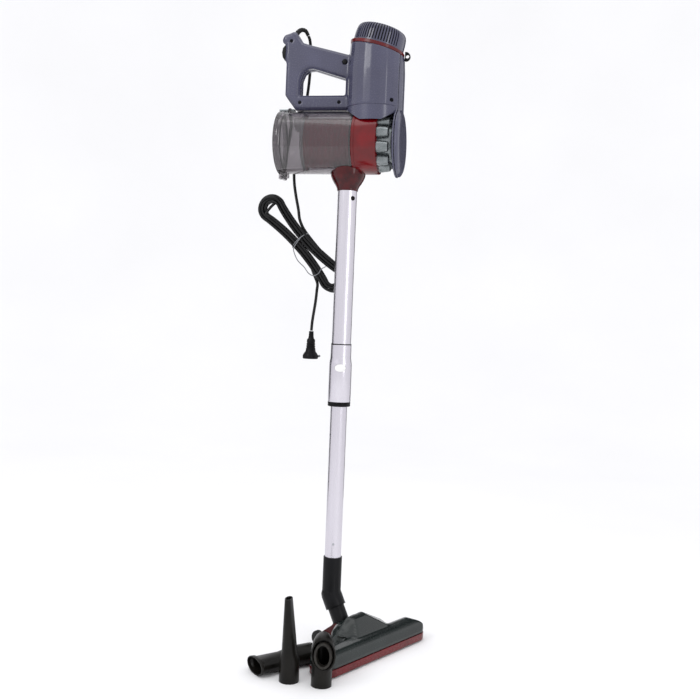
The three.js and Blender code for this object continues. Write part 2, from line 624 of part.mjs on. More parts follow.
// ---------------------------------------------------------------- hand unit
// Handle loop, cord horn and bridge in side view; the loop's opening is a hole.
function handleShape() {
  const shape = outline([
    [20, 964], [20, 1058], [-8, 1065], [-34, 1072], [-73, 1082], [-90, 1087], [-97, 1096], [-103, 1106],
    [-109, 1108], [-116, 1105], [-126, 1102], [-130, 1094], [-129, 1088], [-124, 1085], [-123, 1072],
    [-124, 1058], [-121, 1050], [-121, 992], [-117, 986], [-100, 964],
  ]);
  shape.holes.push(outline([
    [-93, 991], [-93, 1020], [-88, 1033], [-79, 1039], [-70, 1040], [-9, 1021], [-9, 991],
  ]));
  return shape;
}

// The same side view drawn inside the wall, for the hollow of the handle.
function handleCore() {
  return cheek(handleShape(), HANDLE.half - HANDLE.wall, 1, HANDLE.wall);
}

function barrelForm(inset) {
  const { x, low, high, floorZ, taperZ, topZ } = BARREL;
  const start = floorZ + inset;
  return turned(Z, [x, 0, 0], [
    [0, start], [low - inset, start], [low - inset, taperZ], [high - inset, topZ], [0, topZ],
  ], BROAD);
}

function ductForm(inset) {
  const { endX, radius } = DUCT;
  const start = CROWN.endX + GAP + inset;
  const end = endX - inset;
  const r = radius - inset;
  const disc = turned(X, [0, 0, CUP.z], [
    [0, start], [r, start], [r, start + 2], [r - 3, end - 4], [r - 9, end - 1], [r - 16, end], [0, end],
  ], BROAD);
  const column = reach(Z, [BARREL.x, 0, CUP.z], BARREL.low - inset, BARREL.floorZ - CUP.z + inset + 1, BROAD)
    .intersect(block([start, -FAR, 0], [FAR, FAR, FAR]));
  return joined(disc, column);
}

function slanted(solidMaker) {
  const geometry = solidMaker();
  geometry.rotateY(SLANT.tilt * DEG);
  geometry.translate(BARREL.x, 0, SLANT.z);
  return solidOf(geometry);
}

// Everything between two heights above the slanted joint under the exhaust cap.
function slantedLayer(low, high) {
  return slanted(() => new THREE.BoxGeometry(FAR, FAR, high - low).translate(0, 0, (low + high) / 2));
}

function slantedTurned(profile, sides = ROUND) {
  const points = profile.map(([radius, height]) => new THREE.Vector2(radius, height));
  return slanted(() => new THREE.LatheGeometry(points, sides).rotateX(90 * DEG));
}

function slantUp() {
  return new THREE.Vector3(Math.sin(SLANT.tilt * DEG), 0, Math.cos(SLANT.tilt * DEG));
}

const SCREWS = [
  { name: 'screw_horn', x: -112, z: 1090, face: HANDLE.half },
  { name: 'screw_bridge_lid', x: -92, z: 977.5, face: HANDLE.half },
  { name: 'screw_bridge_motor', x: -19, z: 977.5, face: HANDLE.half },
  { name: 'screw_barrel', x: 80, z: 976, face: Math.hypot(BARREL.low, 0) * 0.711 },
];

function screw({ x, z, face }) {
  const { head: headRadius, headHeight, shank, length, sink } = SCREW;
  return joined(
    reach(Y, [x, -face + sink, z], headRadius, headHeight, SMALL),
    reach(Y, [x, -face + sink + headHeight, z], shank, length, 8));
}

function screwHole({ x, z, face }) {
  const { head: headRadius, headHeight, shank, length, sink } = SCREW;
  const seat = -face + sink + headHeight + GAP;
  return joined(
    reach(Y, [x, seat - FAR, z], headRadius + GAP, FAR, SMALL),
    reach(Y, [x, seat - 1, z], shank + GAP, length + 1, 8));
}

function switchShape(growth) {
  const { low, high, back } = SWITCH;
  return outline([
    [back + growth, low - growth], [back - 6 - growth, low + 1 - growth],
    [back - 11 - growth, low + 8 - growth / 2],
    [back - 12.5 - growth, (low + high) / 2 + 1], [back - 11 - growth, high - 7 + growth / 2],
    [back - 6 - growth, high - 1 + growth], [back + growth, high + growth],
  ]);
}

function housingShell() {
  const form = joined(barrelForm(0), ductForm(0), cheek(handleShape(), HANDLE.half, HANDLE.bevel));
  const hollow = joined(barrelForm(BARREL.wall), ductForm(DUCT.wall), handleCore());
  const bosses = SCREWS.map((place) => rod(Y, [place.x, 0, place.z], SCREW.boss, FAR, SMALL));
  const shell = form.subtract(hollow).add(joined(...bosses).intersect(form));
  return cut(shell,
    slantedLayer(-SLANT.ring / 2, FAR),
    rod(X, [CROWN.endX - FAR / 2, 0, CUP.z], CUP.radius + GAP, FAR, BROAD),
    rod(X, [CROWN.endX, 0, CUP.z], DUCT.port, 2 * DUCT.wall + 2, ROUND),
    cheek(switchShape(GAP), SWITCH.half + GAP),
    block([SWITCH.back, -SWITCH.half - GAP, SWITCH.low - GAP],
      [SWITCH.back + SWITCH.travel + 1, SWITCH.half + GAP, SWITCH.high + GAP]),
    reach(Y, [RELEASE.x, -HANDLE.half - 1, RELEASE.z], RELEASE.radius + GAP,
      RELEASE.depth + RELEASE.play, SMALL),
    ...SCREWS.map(screwHole));
}

function exhaustCap() {
  const { radius: r, height: h, wall, slots, slotWidth, slotLow, slotHigh } = CAP;
  const low = SLANT.ring / 2 + GAP;
  const shell = slantedTurned([
    [r, low], [r - 0.5, h * 0.6], [r - 3, h * 0.85], [r - 9, h * 0.97], [r - 18, h], [0, h], [0, h - wall],
    [r - 18, h - wall], [r - 9 - wall, h * 0.97 - wall], [r - 3 - wall, h * 0.85 - wall / 2],
    [r - 0.5 - wall, h * 0.6], [r - wall, low], [r, low],
  ], BROAD);
  const cutters = Array.from({ length: slots }, (_, i) => {
    const angle = (360 * (i + 0.5)) / slots;
    return slanted(() => new THREE.BoxGeometry(2 * r, slotWidth, slotHigh - slotLow)
      .translate(r, 0, (slotLow + slotHigh) / 2).rotateZ(angle * DEG));
  });
  return cut(shell, ...cutters.map((tool) => tool.subtract(barrelForm(BARREL.wall + 12))));
}

function impeller() {
  const { radius, z, disc, blade, blades, bladeThick, hub } = FAN;
  const vanes = Array.from({ length: blades }, (_, i) => {
    const geometry = new THREE.BoxGeometry(radius - hub, bladeThick, blade);
    geometry.translate((radius + hub) / 2 - 1, 0, z + disc + blade / 2 - 0.5);
    geometry.rotateZ((360 / blades) * i * DEG);
    geometry.translate(BARREL.x, 0, 0);
    return solidOf(geometry);
  });
  return joined(
    reach(Z, [BARREL.x, 0, z], radius, disc),
    reach(Z, [BARREL.x, 0, z], hub, disc + blade, SMALL),
    reach(Z, [BARREL.x, 0, z], MOTOR.shaft, MOTOR.shaftTop - z, SMALL),
    ...vanes);
}

function motor() {
  const { radius, low, high, shaft, shaftTop } = MOTOR;
  const body = turned(Z, [BARREL.x, 0, 0], [
    [0, low], [radius, low], [radius, high - 12], [radius - 8, high - 10], [radius - 8, high - 2],
    [12, high], [0, high],
  ]);
  return cut(body, reach(Z, [BARREL.x, 0, low - 1], shaft + GAP, shaftTop - low + 3, SMALL));
}

function strapEye() {
  const { x, z, radius, holeShift, hole, half } = EYE;
  const lug = cut(
    rod(Y, [x, 0, z], radius, 2 * half, ROUND), rod(Y, [x + holeShift, 0, z], hole, FAR, ROUND));
  return cut(lug, reach(Z, [BARREL.x, 0, 0], BARREL.low - 1, FAR, BROAD));
}

function cordRelief() {
  const path = new THREE.CatmullRomCurve3(RELIEF_ROUTE.map((point) => new THREE.Vector3(...point)));
  const frames = path.computeFrenetFrames(RELIEF.steps);
  return loft(Array.from({ length: RELIEF.steps + 1 }, (_, i) => {
    const share = i / RELIEF.steps;
    const radius = RELIEF.root + (RELIEF.tip - RELIEF.root) * share;
    const at = path.getPointAt(share).toArray();
    return oval(at, frames.normals[i], radius, frames.binormals[i], radius, RELIEF.sides);
  }));
}

function buildHandUnit() {
  const shell = housingShell();
  const split = DUCT.splitX;
  const left = block([-FAR, -FAR, 0], [split - PRESS, -PRESS, FAR]);
  const right = block([-FAR, PRESS, 0], [split - PRESS, FAR, FAR]);
  const rear = block([split + PRESS, -FAR, 0], [FAR, FAR, FAR]);
  const relief = cordRelief();
  const sheath = rod(new THREE.Vector3(5, 0, 9), RELIEF_ROUTE[0], RELIEF.root + GAP + 0.6, 8, SMALL);
  add(model, 'housing_left', shell.intersect(left).subtract(sheath), SLATE());
  add(model, 'housing_right', shell.intersect(right).subtract(sheath), SLATE());
  add(model, 'rear_cover', shell.intersect(rear), STRIP());
  const layer = slantedLayer(-SLANT.ring / 2 + GAP, SLANT.ring / 2);
  const collar = reach(Z, [BARREL.x, 0, 0], SLANT.ringR, FAR, BROAD).intersect(layer);
  add(model, 'trim_ring', cut(collar, reach(Z, [BARREL.x, 0, 0], SLANT.ringHole, FAR)), RED());
  add(model, 'exhaust_cap', exhaustCap(), SLATE());
  const { outer, inner, low, high } = FILTER;
  add(model, 'exhaust_filter', slantedTurned([
    [outer, low], [outer, high], [inner, high], [inner, low], [outer, low]]), WHITE());
  add(model, 'motor', motor(), STEEL());
  const mountOuter = BARREL.low - BARREL.wall - GAP;
  add(model, 'motor_mount',
    ring(Z, [BARREL.x, 0, MOTOR.mountZ], mountOuter, MOTOR.radius + GAP, MOTOR.mountHeight, BROAD), RUBBER());
  add(model, 'impeller', impeller(), BLACK());
  add(model, 'power_switch', cheek(switchShape(0), SWITCH.half), BLACK());
  add(model, 'release_button',
    reach(Y, [RELEASE.x, -HANDLE.half - RELEASE.proud, RELEASE.z], RELEASE.radius, RELEASE.depth, SMALL),
    BLACK());
  add(model, 'strap_eye', strapEye(), BLACK());
  add(model, 'cord_relief', relief, RUBBER());
  for (const place of SCREWS) add(model, place.name, screw(place), BLACK());
}

// ---------------------------------------------------------------- mains cord
const RELIEF_ROUTE = [[-107, 0, 1106], [-104, 2, 1112], [-99, 6, 1116.5], [-93, 11, 1116], [-89, 16, 1109]];
const DROP_ROUTE = [
  [-88.6, 16.5, 1108.2], [-87, 18.9, 1104], [-86, 23, 1095], [-86, 29, 1078], [-88, 37, 1050],
  [-93, 47, 1015], [-101, 57, 980], [-110, 65, 945], [-117, 69, 910],
  [-120, 70, 875], [-118, 67, 845], [-112, 61, 818], [-104.5, 54, 792],
  [-99, 48.5, 770],
];
const TAIL_ROUTE = [
  [-60, 47, 652], [-60.5, 47, 640], [-62, 47, 620], [-64.5, 47, 600], [-67, 47, 580], [-68, 47, 563],
];

function hankShape(growth) {
  const { half, lobe, pinch } = HANK;
  const centre = half - lobe;
  const shape = new THREE.Shape();
  shape.moveTo(centre, -lobe - growth);
  shape.absarc(centre, 0, lobe + growth, -90 * DEG, 90 * DEG);
  shape.quadraticCurveTo(0, pinch + growth, -centre, lobe + growth);
  shape.absarc(-centre, 0, lobe + growth, 90 * DEG, 270 * DEG);
  shape.quadraticCurveTo(0, -pinch - growth, centre, -lobe - growth);
  return shape;
}

function plugBody() {
  const { x, y, topZ, length, neck, grip, flare, pin, pinLength, pinGap } = PLUG;
  const body = turned(Z, [x, y, topZ - length], [
    [0, 0], [flare - 1, 0], [flare, 2], [flare, 7], [flare - 3, 11], [grip, 15], [grip - 1.5, length - 16],
    [neck + 0.8, length - 13], [neck, length], [0, length],
  ], ROUND);
  const pins = [-1, 1].map((side) => (
    reach(Y, [x + (side * pinGap) / 2, y, topZ - length + 4.5], pin, flare + pinLength, SMALL)));
  return joined(body, ...pins);
}

function buildCord() {
  add(model, 'cord_drop', cordTube(DROP_ROUTE, CORD.dropSteps), RUBBER());
  add(hank, 'cord_hank', cheek(hankShape(0), HANK.thick / 2), RUBBER());
  add(model, 'cord_tail', cordTube(TAIL_ROUTE, CORD.tailSteps), RUBBER());
  add(model, 'plug', plugBody(), BLACK());
}

// ---------------------------------------------------------------- loose tools
// A place given from the near front corner of the floor head.
function toolPlace([dx, dy]) {
  const corner = new THREE.Vector3(HEAD.front, -HEAD.half, 0).applyAxisAngle(Z, HEAD.yaw * DEG);
  return [corner.x + dx, corner.y + dy];
}

function creviceForm(inset) {
  const [x, y] = toolPlace(CREVICE.from);
  const { height } = CREVICE;
  const low = inset > 0 ? -1 : 0;
  const sections = [
    [low, 0, 16.5, 16.5], [36, 0, 16, 16], [50, -1, 12.5, 13.5], [70, -2, 11, 13.5],
    [height - 2 * low, -5.5, 6, 12],
  ];
  return loft(sections.map(([z, shift, halfX, halfY]) => (
    oval([x + shift, y, z], X, halfX - inset, Y, halfY - inset))));
}

function creviceTool() {
  const [x, y] = toolPlace(CREVICE.from);
  const { height, wall } = CREVICE;
  const slit = outline([[x - 3, height + 20], [x + 30, height + 20], [x + 30, 76], [x + 8, 76]]);
  const geometry = new THREE.ExtrudeGeometry(slit, { depth: 80, bevelEnabled: false });
  geometry.rotateX(90 * DEG);
  geometry.translate(0, y + 40, 0);
  return cut(creviceForm(0), creviceForm(wall), solidOf(geometry));
}

function brushHead(inset) {
  const [x, y] = toolPlace(BRUSH.from);
  const { mouthY, turnOut } = BRUSH;
  const open = inset > 0 ? 1 : 0;
  return loft([
    oval([x, y + 16 - inset, 64], X, 12 - inset, Z, 13 - inset),
    oval([x, y + 8, 62], X, 17 - inset, Z, 22 - inset),
    oval([x + turnOut / 2, y - 8, 58], X, 20 - inset, Z, 26 - inset),
    oval([x + turnOut, y + mouthY - open, 55], X, 20 - inset, Z, 26 - inset),
  ]);
}

function dustingBrush() {
  const [x, y] = toolPlace(BRUSH.from);
  const { socket, bore, wall } = BRUSH;
  return cut(joined(reach(Z, [x, y, 0], socket, 50), brushHead(0)),
    brushHead(wall), reach(Z, [x, y, -1], bore, 56));
}

function brushBristles() {
  const [x, y] = toolPlace(BRUSH.from);
  const { mouthY, turnOut, wall, bristle } = BRUSH;
  const [outer, inner] = [wall + GAP, wall + 4];
  const ringAt = (depth, inset) => oval([x + turnOut, depth, 55], X, 17 - inset, Z, 23 - inset);
  const [near, far] = [y + mouthY - bristle, y + mouthY + 6];
  return cut(
    loft([ringAt(far, outer), ringAt(near, outer)]), loft([ringAt(far + 1, inner), ringAt(near - 1, inner)]));
}

function upholsteryNozzle() {
  const { length, socket, wall } = NOZZLE;
  const form = (inset) => {
    const open = inset > 0 ? 1 : 0;
    return loft([
      oval([-open, 0, 14.2], Y, 27 - inset, Z, 14.2 - inset),
      oval([5, 0, 14.2], Y, 27 - inset, Z, 14.2 - inset),
      oval([8, 0, 14], Y, 23 - inset, Z, 13 - inset),
      oval([48, 0, 15], Y, 20 - inset, Z, 13.5 - inset),
      oval([66, 0, socket], Y, socket - inset - 1.5, Z, socket - inset - 1.5),
      oval([74, 0, socket], Y, socket - inset, Z, socket - inset),
      oval([length + open, 0, socket], Y, socket - inset, Z, socket - inset),
    ]);
  };
  return cut(form(0), form(wall));
}

function buildTools() {
  const nozzle = new THREE.Group();
  nozzle.position.set(...toolPlace(NOZZLE.from), 0);
  nozzle.rotation.z = NOZZLE.turn * DEG;
  model.add(nozzle);
  add(model, 'crevice_tool', creviceTool(), BLACK());
  add(model, 'dusting_brush', dustingBrush(), BLACK());
  add(model, 'brush_bristles', brushBristles(), RUBBER());
  add(nozzle, 'upholstery_nozzle', upholsteryNozzle(), BLACK());
}

buildHead();
buildTube();
buildCup();
buildHandUnit();
buildCord();
buildTools();

// The finished part stands with its origin under the middle of its box, taken without the cord.
function standOnOrigin() {
  const cordNodes = ['cord_relief', 'cord_drop', 'cord_hank', 'cord_tail', 'plug'];
  const box = new THREE.Box3();
  model.updateMatrixWorld(true);
  model.traverse((node) => {
    if (node.isMesh && !cordNodes.includes(node.name)) box.expandByObject(node, true);
  });
  const middle = box.getCenter(new THREE.Vector3());
  model.position.set(-middle.x, -middle.y, -box.min.z);
}

standOnOrigin();

export default model;
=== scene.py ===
"""Looks of a corded stick vacuum cleaner with a lift-out hand unit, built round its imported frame.

Every size is in millimetres in the drawing frame, whose upright axis is the axis of the tube;
the function `place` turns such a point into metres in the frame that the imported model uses.
"""

import logging
import math
from collections.abc import Callable, Sequence
from dataclasses import dataclass, field
from enum import Enum

import bpy
from mathutils import Matrix, Vector


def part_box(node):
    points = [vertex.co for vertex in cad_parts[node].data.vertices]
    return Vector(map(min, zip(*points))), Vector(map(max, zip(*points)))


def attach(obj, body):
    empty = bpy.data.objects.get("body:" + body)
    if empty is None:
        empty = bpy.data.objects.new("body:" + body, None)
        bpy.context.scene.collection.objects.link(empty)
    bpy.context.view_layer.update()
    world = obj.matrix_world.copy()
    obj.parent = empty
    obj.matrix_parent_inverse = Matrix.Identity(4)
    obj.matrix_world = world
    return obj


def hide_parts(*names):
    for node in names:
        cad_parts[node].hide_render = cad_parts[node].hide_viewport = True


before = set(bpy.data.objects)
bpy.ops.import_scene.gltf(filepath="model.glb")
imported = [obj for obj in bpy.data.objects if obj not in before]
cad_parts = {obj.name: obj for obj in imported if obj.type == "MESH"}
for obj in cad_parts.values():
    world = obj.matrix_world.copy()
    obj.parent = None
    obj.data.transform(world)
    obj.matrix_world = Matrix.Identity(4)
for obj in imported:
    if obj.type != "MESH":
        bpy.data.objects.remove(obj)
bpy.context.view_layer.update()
LOG = logging.getLogger("stick_vacuum")
MM = 0.001
MERGE = 1e-6  # points nearer than this, in metres, are one
TUBE_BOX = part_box("upper_tube")
AXIS_X = (TUBE_BOX[0].x + TUBE_BOX[1].x) / 2
AXIS_Y = (TUBE_BOX[0].y + TUBE_BOX[1].y) / 2
CUP_Z = 906.0
CUP_RADIUS = 56.0
BARREL_X = 45.0
SLANT = math.radians(14)
SLANT_Z = 1076.0
HEAD_TURN = math.radians(-28)
FULL = 2 * math.pi


class Axis(Enum):
    """The directions in which turned and drawn pieces are laid."""

    X = (1.0, 0.0, 0.0)
    Y = (0.0, 1.0, 0.0)
    Z = (0.0, 0.0, 1.0)

    def vector(self) -> Vector:
        """The direction as a vector."""
        return Vector(self.value)

    def side(self) -> Vector:
        """A direction square to this one."""
        return Vector((0.0, 0.0, 1.0)) if self is not Axis.Z else Vector((1.0, 0.0, 0.0))


# ---------------------------------------------------------------- placing and selecting
def place(x: float, y: float, z: float) -> Vector:
    """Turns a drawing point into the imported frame.

    Args:
        x: Millimetres towards the motor.
        y: Millimetres away from the viewer.
        z: Millimetres above the floor.

    Returns:
        The point in metres.
    """
    return Vector((AXIS_X + x * MM, AXIS_Y + y * MM, z * MM))


def on_head(x: float, y: float, z: float) -> Vector:
    """Turns a point of the floor head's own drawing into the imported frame.

    Args:
        x: Millimetres forward of the tube axis, along the head's travel.
        y: Millimetres across the head.
        z: Millimetres above the floor.

    Returns:
        The point in metres.
    """
    cosine, sine = math.cos(HEAD_TURN), math.sin(HEAD_TURN)
    return place(x * cosine - y * sine, x * sine + y * cosine, z)


def deselect() -> None:
    """Leaves edit mode if needed and selects nothing."""
    if bpy.context.object and bpy.context.object.mode != "OBJECT":
        bpy.ops.object.mode_set(mode="OBJECT")
    bpy.ops.object.select_all(action="DESELECT")


def activate(piece: bpy.types.Object) -> None:
    """Makes one piece the only selected and active one.

    Args:
        piece: The piece to work on.
    """
    deselect()
    piece.select_set(True)
    bpy.context.view_layer.objects.active = piece


def edit(piece: bpy.types.Object, whole: bool = True) -> None:
    """Opens a piece in edit mode.

    Args:
        piece: The piece to shape.
        whole: Whether all of it is selected, or nothing.
    """
    activate(piece)
    bpy.ops.object.mode_set(mode="EDIT")
    bpy.ops.mesh.select_all(action="SELECT" if whole else "DESELECT")


def close_edit() -> None:
    """Goes back to object mode."""
    bpy.ops.object.mode_set(mode="OBJECT")


def pick_faces(piece: bpy.types.Object, wanted: Callable[[Vector, Vector], bool]) -> None:
    """Opens a piece in edit mode with the wanted faces selected.

    Args:
        piece: The piece to shape.
        wanted: Says of a face's centre and normal whether it is selected.
    """
    edit(piece, whole=False)
    bpy.ops.mesh.select_mode(type="FACE")
    close_edit()
    for face in piece.data.polygons:
        face.select = wanted(face.center, face.normal)
    bpy.ops.object.mode_set(mode="EDIT")


# ---------------------------------------------------------------- modelling
def tidy_mesh(piece: bpy.types.Object) -> None:
    """Merges doubled points and turns the faces outwards.

    Args:
        piece: The piece to clean.
    """
    edit(piece)
    bpy.ops.mesh.remove_doubles(threshold=MERGE)
    bpy.ops.mesh.normals_make_consistent(inside=False)
    close_edit()


def traced(points: Sequence[Vector], name: str) -> bpy.types.Object:
    """Draws a closed line of points, one extruded from the last.

    Args:
        points: The corners, in metres.
        name: The name of the new object.

    Returns:
        The line as a mesh, left in edit mode with all of it selected.
    """
    deselect()
    bpy.ops.mesh.primitive_plane_add(size=MM, location=points[0])
    piece = bpy.context.object
    piece.name = name
    bpy.ops.object.mode_set(mode="EDIT")
    bpy.ops.mesh.select_mode(type="VERT")
    bpy.ops.mesh.select_all(action="SELECT")
    bpy.ops.mesh.merge(type="CENTER")
    for start, end in zip(points, [*points[1:], points[0]]):
        bpy.ops.mesh.extrude_vertices_move(TRANSFORM_OT_translate={"value": end - start})
    bpy.ops.mesh.select_all(action="SELECT")
    bpy.ops.mesh.remove_doubles(threshold=1e-7)
    return piece


def turned(name: str, axis: Axis, centre: Vector, profile: Sequence[tuple[float, float]],
           steps: int = 64) -> bpy.types.Object:
    """Turns a closed profile round an axis, as on a lathe.

    Args:
        name: The name of the new object.
        axis: The direction of the axis.
        centre: The point on the axis where heights start, in metres.
        profile: Corners as (radius, height), in millimetres.
        steps: How many flats the circle has.

    Returns:
        The turned piece.
    """
    up, side = axis.vector(), axis.side()
    corners = [centre + up * height * MM + side * radius * MM for radius, height in profile]
    piece = traced(corners, name)
    bpy.ops.mesh.spin(steps=steps, angle=FULL, center=centre, axis=up)
    bpy.ops.mesh.select_all(action="SELECT")
    bpy.ops.mesh.remove_doubles(threshold=MERGE)
    bpy.ops.mesh.delete_loose(use_verts=True, use_edges=True)
    close_edit()
    bake_place(piece)
    tidy_mesh(piece)
    return piece


def slab(name: str, corners: Sequence[Vector], reach: Vector) -> bpy.types.Object:
    """Fills an outline and extrudes it into a solid.

    Args:
        name: The name of the new object.
        corners: The outline, in metres.
        reach: How far and which way it is extruded, in metres.

    Returns:
        The solid piece.
    """
    piece = traced(corners, name)
    bpy.ops.mesh.edge_face_add()
    bpy.ops.mesh.extrude_region_move(TRANSFORM_OT_translate={"value": reach})
    close_edit()
    bake_place(piece)
    tidy_mesh(piece)
    return piece


def rod(name: str, start: Vector, end: Vector, radius: float, sides: int = 32) -> bpy.types.Object:
    """Adds a round bar between two points.

    Args:
        name: The name of the new object.
        start: One end, in metres.
        end: The other end, in metres.
        radius: The radius, in millimetres.
        sides: How many flats the circle has.

    Returns:
        The bar, with its place in its mesh.
    """
    deselect()
    line = end - start
    turn = line.to_track_quat("Z", "Y").to_euler()
    bpy.ops.mesh.primitive_cylinder_add(vertices=sides, radius=radius * MM, depth=line.length,
                                        location=(start + end) / 2, rotation=turn)
    piece = bpy.context.object
    piece.name = name
    bake_place(piece)
    return piece


def brick(name: str, low: Vector, high: Vector) -> bpy.types.Object:
    """Adds a box between two corners.

    Args:
        name: The name of the new object.
        low: The lowest corner, in metres.
        high: The highest corner, in metres.

    Returns:
        The box, with its place in its mesh.
    """
    deselect()
    bpy.ops.mesh.primitive_cube_add(size=1, location=(low + high) / 2, scale=high - low)
    piece = bpy.context.object
    piece.name = name
    bake_place(piece)
    return piece


def bake_place(piece: bpy.types.Object) -> None:
    """Moves a piece's place into its mesh, and leaves its object at the origin.

    Args:
        piece: The piece.
    """
    bpy.context.view_layer.update()
    piece.data.transform(piece.matrix_world)
    piece.matrix_world = Matrix.Identity(4)
    bpy.context.view_layer.update()


def modify(piece: bpy.types.Object, kind: str, **settings: object) -> bpy.types.Object:
    """Adds one modifier to a piece and applies it.

    Args:
        piece: The piece.
        kind: The modifier's type.
        settings: The modifier's properties.

    Returns:
        The piece.
    """
    activate(piece)
    bpy.ops.object.modifier_add(type=kind)
    added = piece.modifiers[-1]
    for key, value in settings.items():
        setattr(added, key, value)
    bpy.ops.object.modifier_apply(modifier=added.name)
    return piece


def carve(piece: bpy.types.Object, *tools: bpy.types.Object,
          operation: str = "DIFFERENCE") -> bpy.types.Object:
    """Cuts tools out of a piece, or joins them to it, and clears the tools away.

    Args:
        piece: The piece to cut.
        tools: The cutters.
        operation: What the boolean does: DIFFERENCE, UNION or INTERSECT.

    Returns:
        The piece.
    """
    for tool in tools:
        modify(piece, "BOOLEAN", operation=operation, solver="EXACT", object=tool)
        bpy.data.objects.remove(tool)
    return piece


def round_edges(piece: bpy.types.Object, width: float, segments: int = 2,
                angle: float = 32) -> bpy.types.Object:
    """Rounds the edges that are sharper than an angle.

    Args:
        piece: The piece.
        width: The width of the rounding, in millimetres.
        segments: How many steps the rounding has.
        angle: The least angle that is rounded, in degrees.

    Returns:
        The piece.
    """
    return modify(piece, "BEVEL", width=width * MM, segments=segments, limit_method="ANGLE",
                  angle_limit=math.radians(angle), miter_outer="MITER_ARC")


def joined(name: str, pieces: Sequence[bpy.types.Object]) -> bpy.types.Object:
    """Joins pieces into one object.

    Args:
        name: The name of the joined object.
        pieces: The pieces; the first one takes the others in.

    Returns:
        The joined object.
    """
    activate(pieces[0])
    for piece in pieces[1:]:
        piece.select_set(True)
    if len(pieces) > 1:
        bpy.ops.object.join()
    pieces[0].name = name
    return pieces[0]


def own_copy(piece: bpy.types.Object, matrix: Matrix) -> bpy.types.Object:
    """Copies a piece, with its own mesh, to another place.

    Args:
        piece: The piece to copy.
        matrix: The move, in metres, that is put into the copy's mesh.

    Returns:
        The copy.
    """
    activate(piece)
    bpy.ops.object.duplicate(linked=False)
    copy = bpy.context.object
    copy.data.transform(matrix)
    return copy


def turned_about(centre: Vector, axis: Axis, angle: float) -> Matrix:
    """A turn about a line.

    Args:
        centre: A point on the line, in metres.
        axis: The line's direction.
        angle: The turn, in radians.

    Returns:
        The turn as a matrix.
    """
    turn = Matrix.Rotation(angle, 4, axis.vector())
    return Matrix.Translation(centre) @ turn @ Matrix.Translation(-centre)


def recast(node: str, bevel: float = 0.0, segments: int = 2, flat: float = 0.4) -> bpy.types.Object:
    """Copies a frame node, merges it, and rounds its edges.

    Args:
        node: The name of the frame node.
        bevel: The width of its rounded edges, in millimetres, or 0.
        segments: How many steps the rounding has.
        flat: The angle, in degrees, below which neighbouring faces become one.

    Returns:
        The copy.
    """
    piece = bpy.data.objects.new(f"{node}_form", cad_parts[node].data.copy())
    bpy.context.scene.collection.objects.link(piece)
    piece.data.materials.clear()
    edit(piece)
    bpy.ops.mesh.customdata_custom_splitnormals_clear()
    bpy.ops.mesh.remove_doubles(threshold=2e-6)
    bpy.ops.mesh.dissolve_limited(angle_limit=math.radians(flat))
    close_edit()
    if bevel:
        round_edges(piece, bevel, segments)
    return piece


def softened(piece: bpy.types.Object, cell: float, passes: int) -> bpy.types.Object:
    """Runs the corners of a moulding into each other, as the fillets of its tool do.

    Args:
        piece: The piece.
        cell: The size of the mesh cells that it is rebuilt from, in millimetres.
        passes: How many times its points are evened out.

    Returns:
        The piece.
    """
    modify(piece, "REMESH", mode="VOXEL", voxel_size=cell * MM)
    return modify(piece, "SMOOTH", factor=0.5, iterations=passes)


# ---------------------------------------------------------------- finishes
def linear(code: str) -> tuple[float, float, float, float]:
    """Turns an sRGB hex colour into a linear one.

    Args:
        code: The colour as #rrggbb.

    Returns:
        Red, green, blue and an alpha of 1.
    """
    parts = [int(code[i:i + 2], 16) / 255 for i in (1, 3, 5)]
    values = [p / 12.92 if p <= 0.04045 else ((p + 0.055) / 1.055) ** 2.4 for p in parts]
    return (*values, 1.0)


def add_node(tree: bpy.types.NodeTree, kind: str, settings: dict | None = None,
             inputs: dict | None = None) -> bpy.types.Node:
    """Adds a node with its settings and links.

    Args:
        tree: The material's node tree.
        kind: The node's type.
        settings: Its properties.
        inputs: Values or output sockets for its inputs.

    Returns:
        The new node.
    """
    node = tree.nodes.new(kind)
    for key, value in (settings or {}).items():
        setattr(node, key, value)
    for key, value in (inputs or {}).items():
        if isinstance(value, bpy.types.NodeSocket):
            tree.links.new(value, node.inputs[key])
        else:
            node.inputs[key].default_value = value
    return node


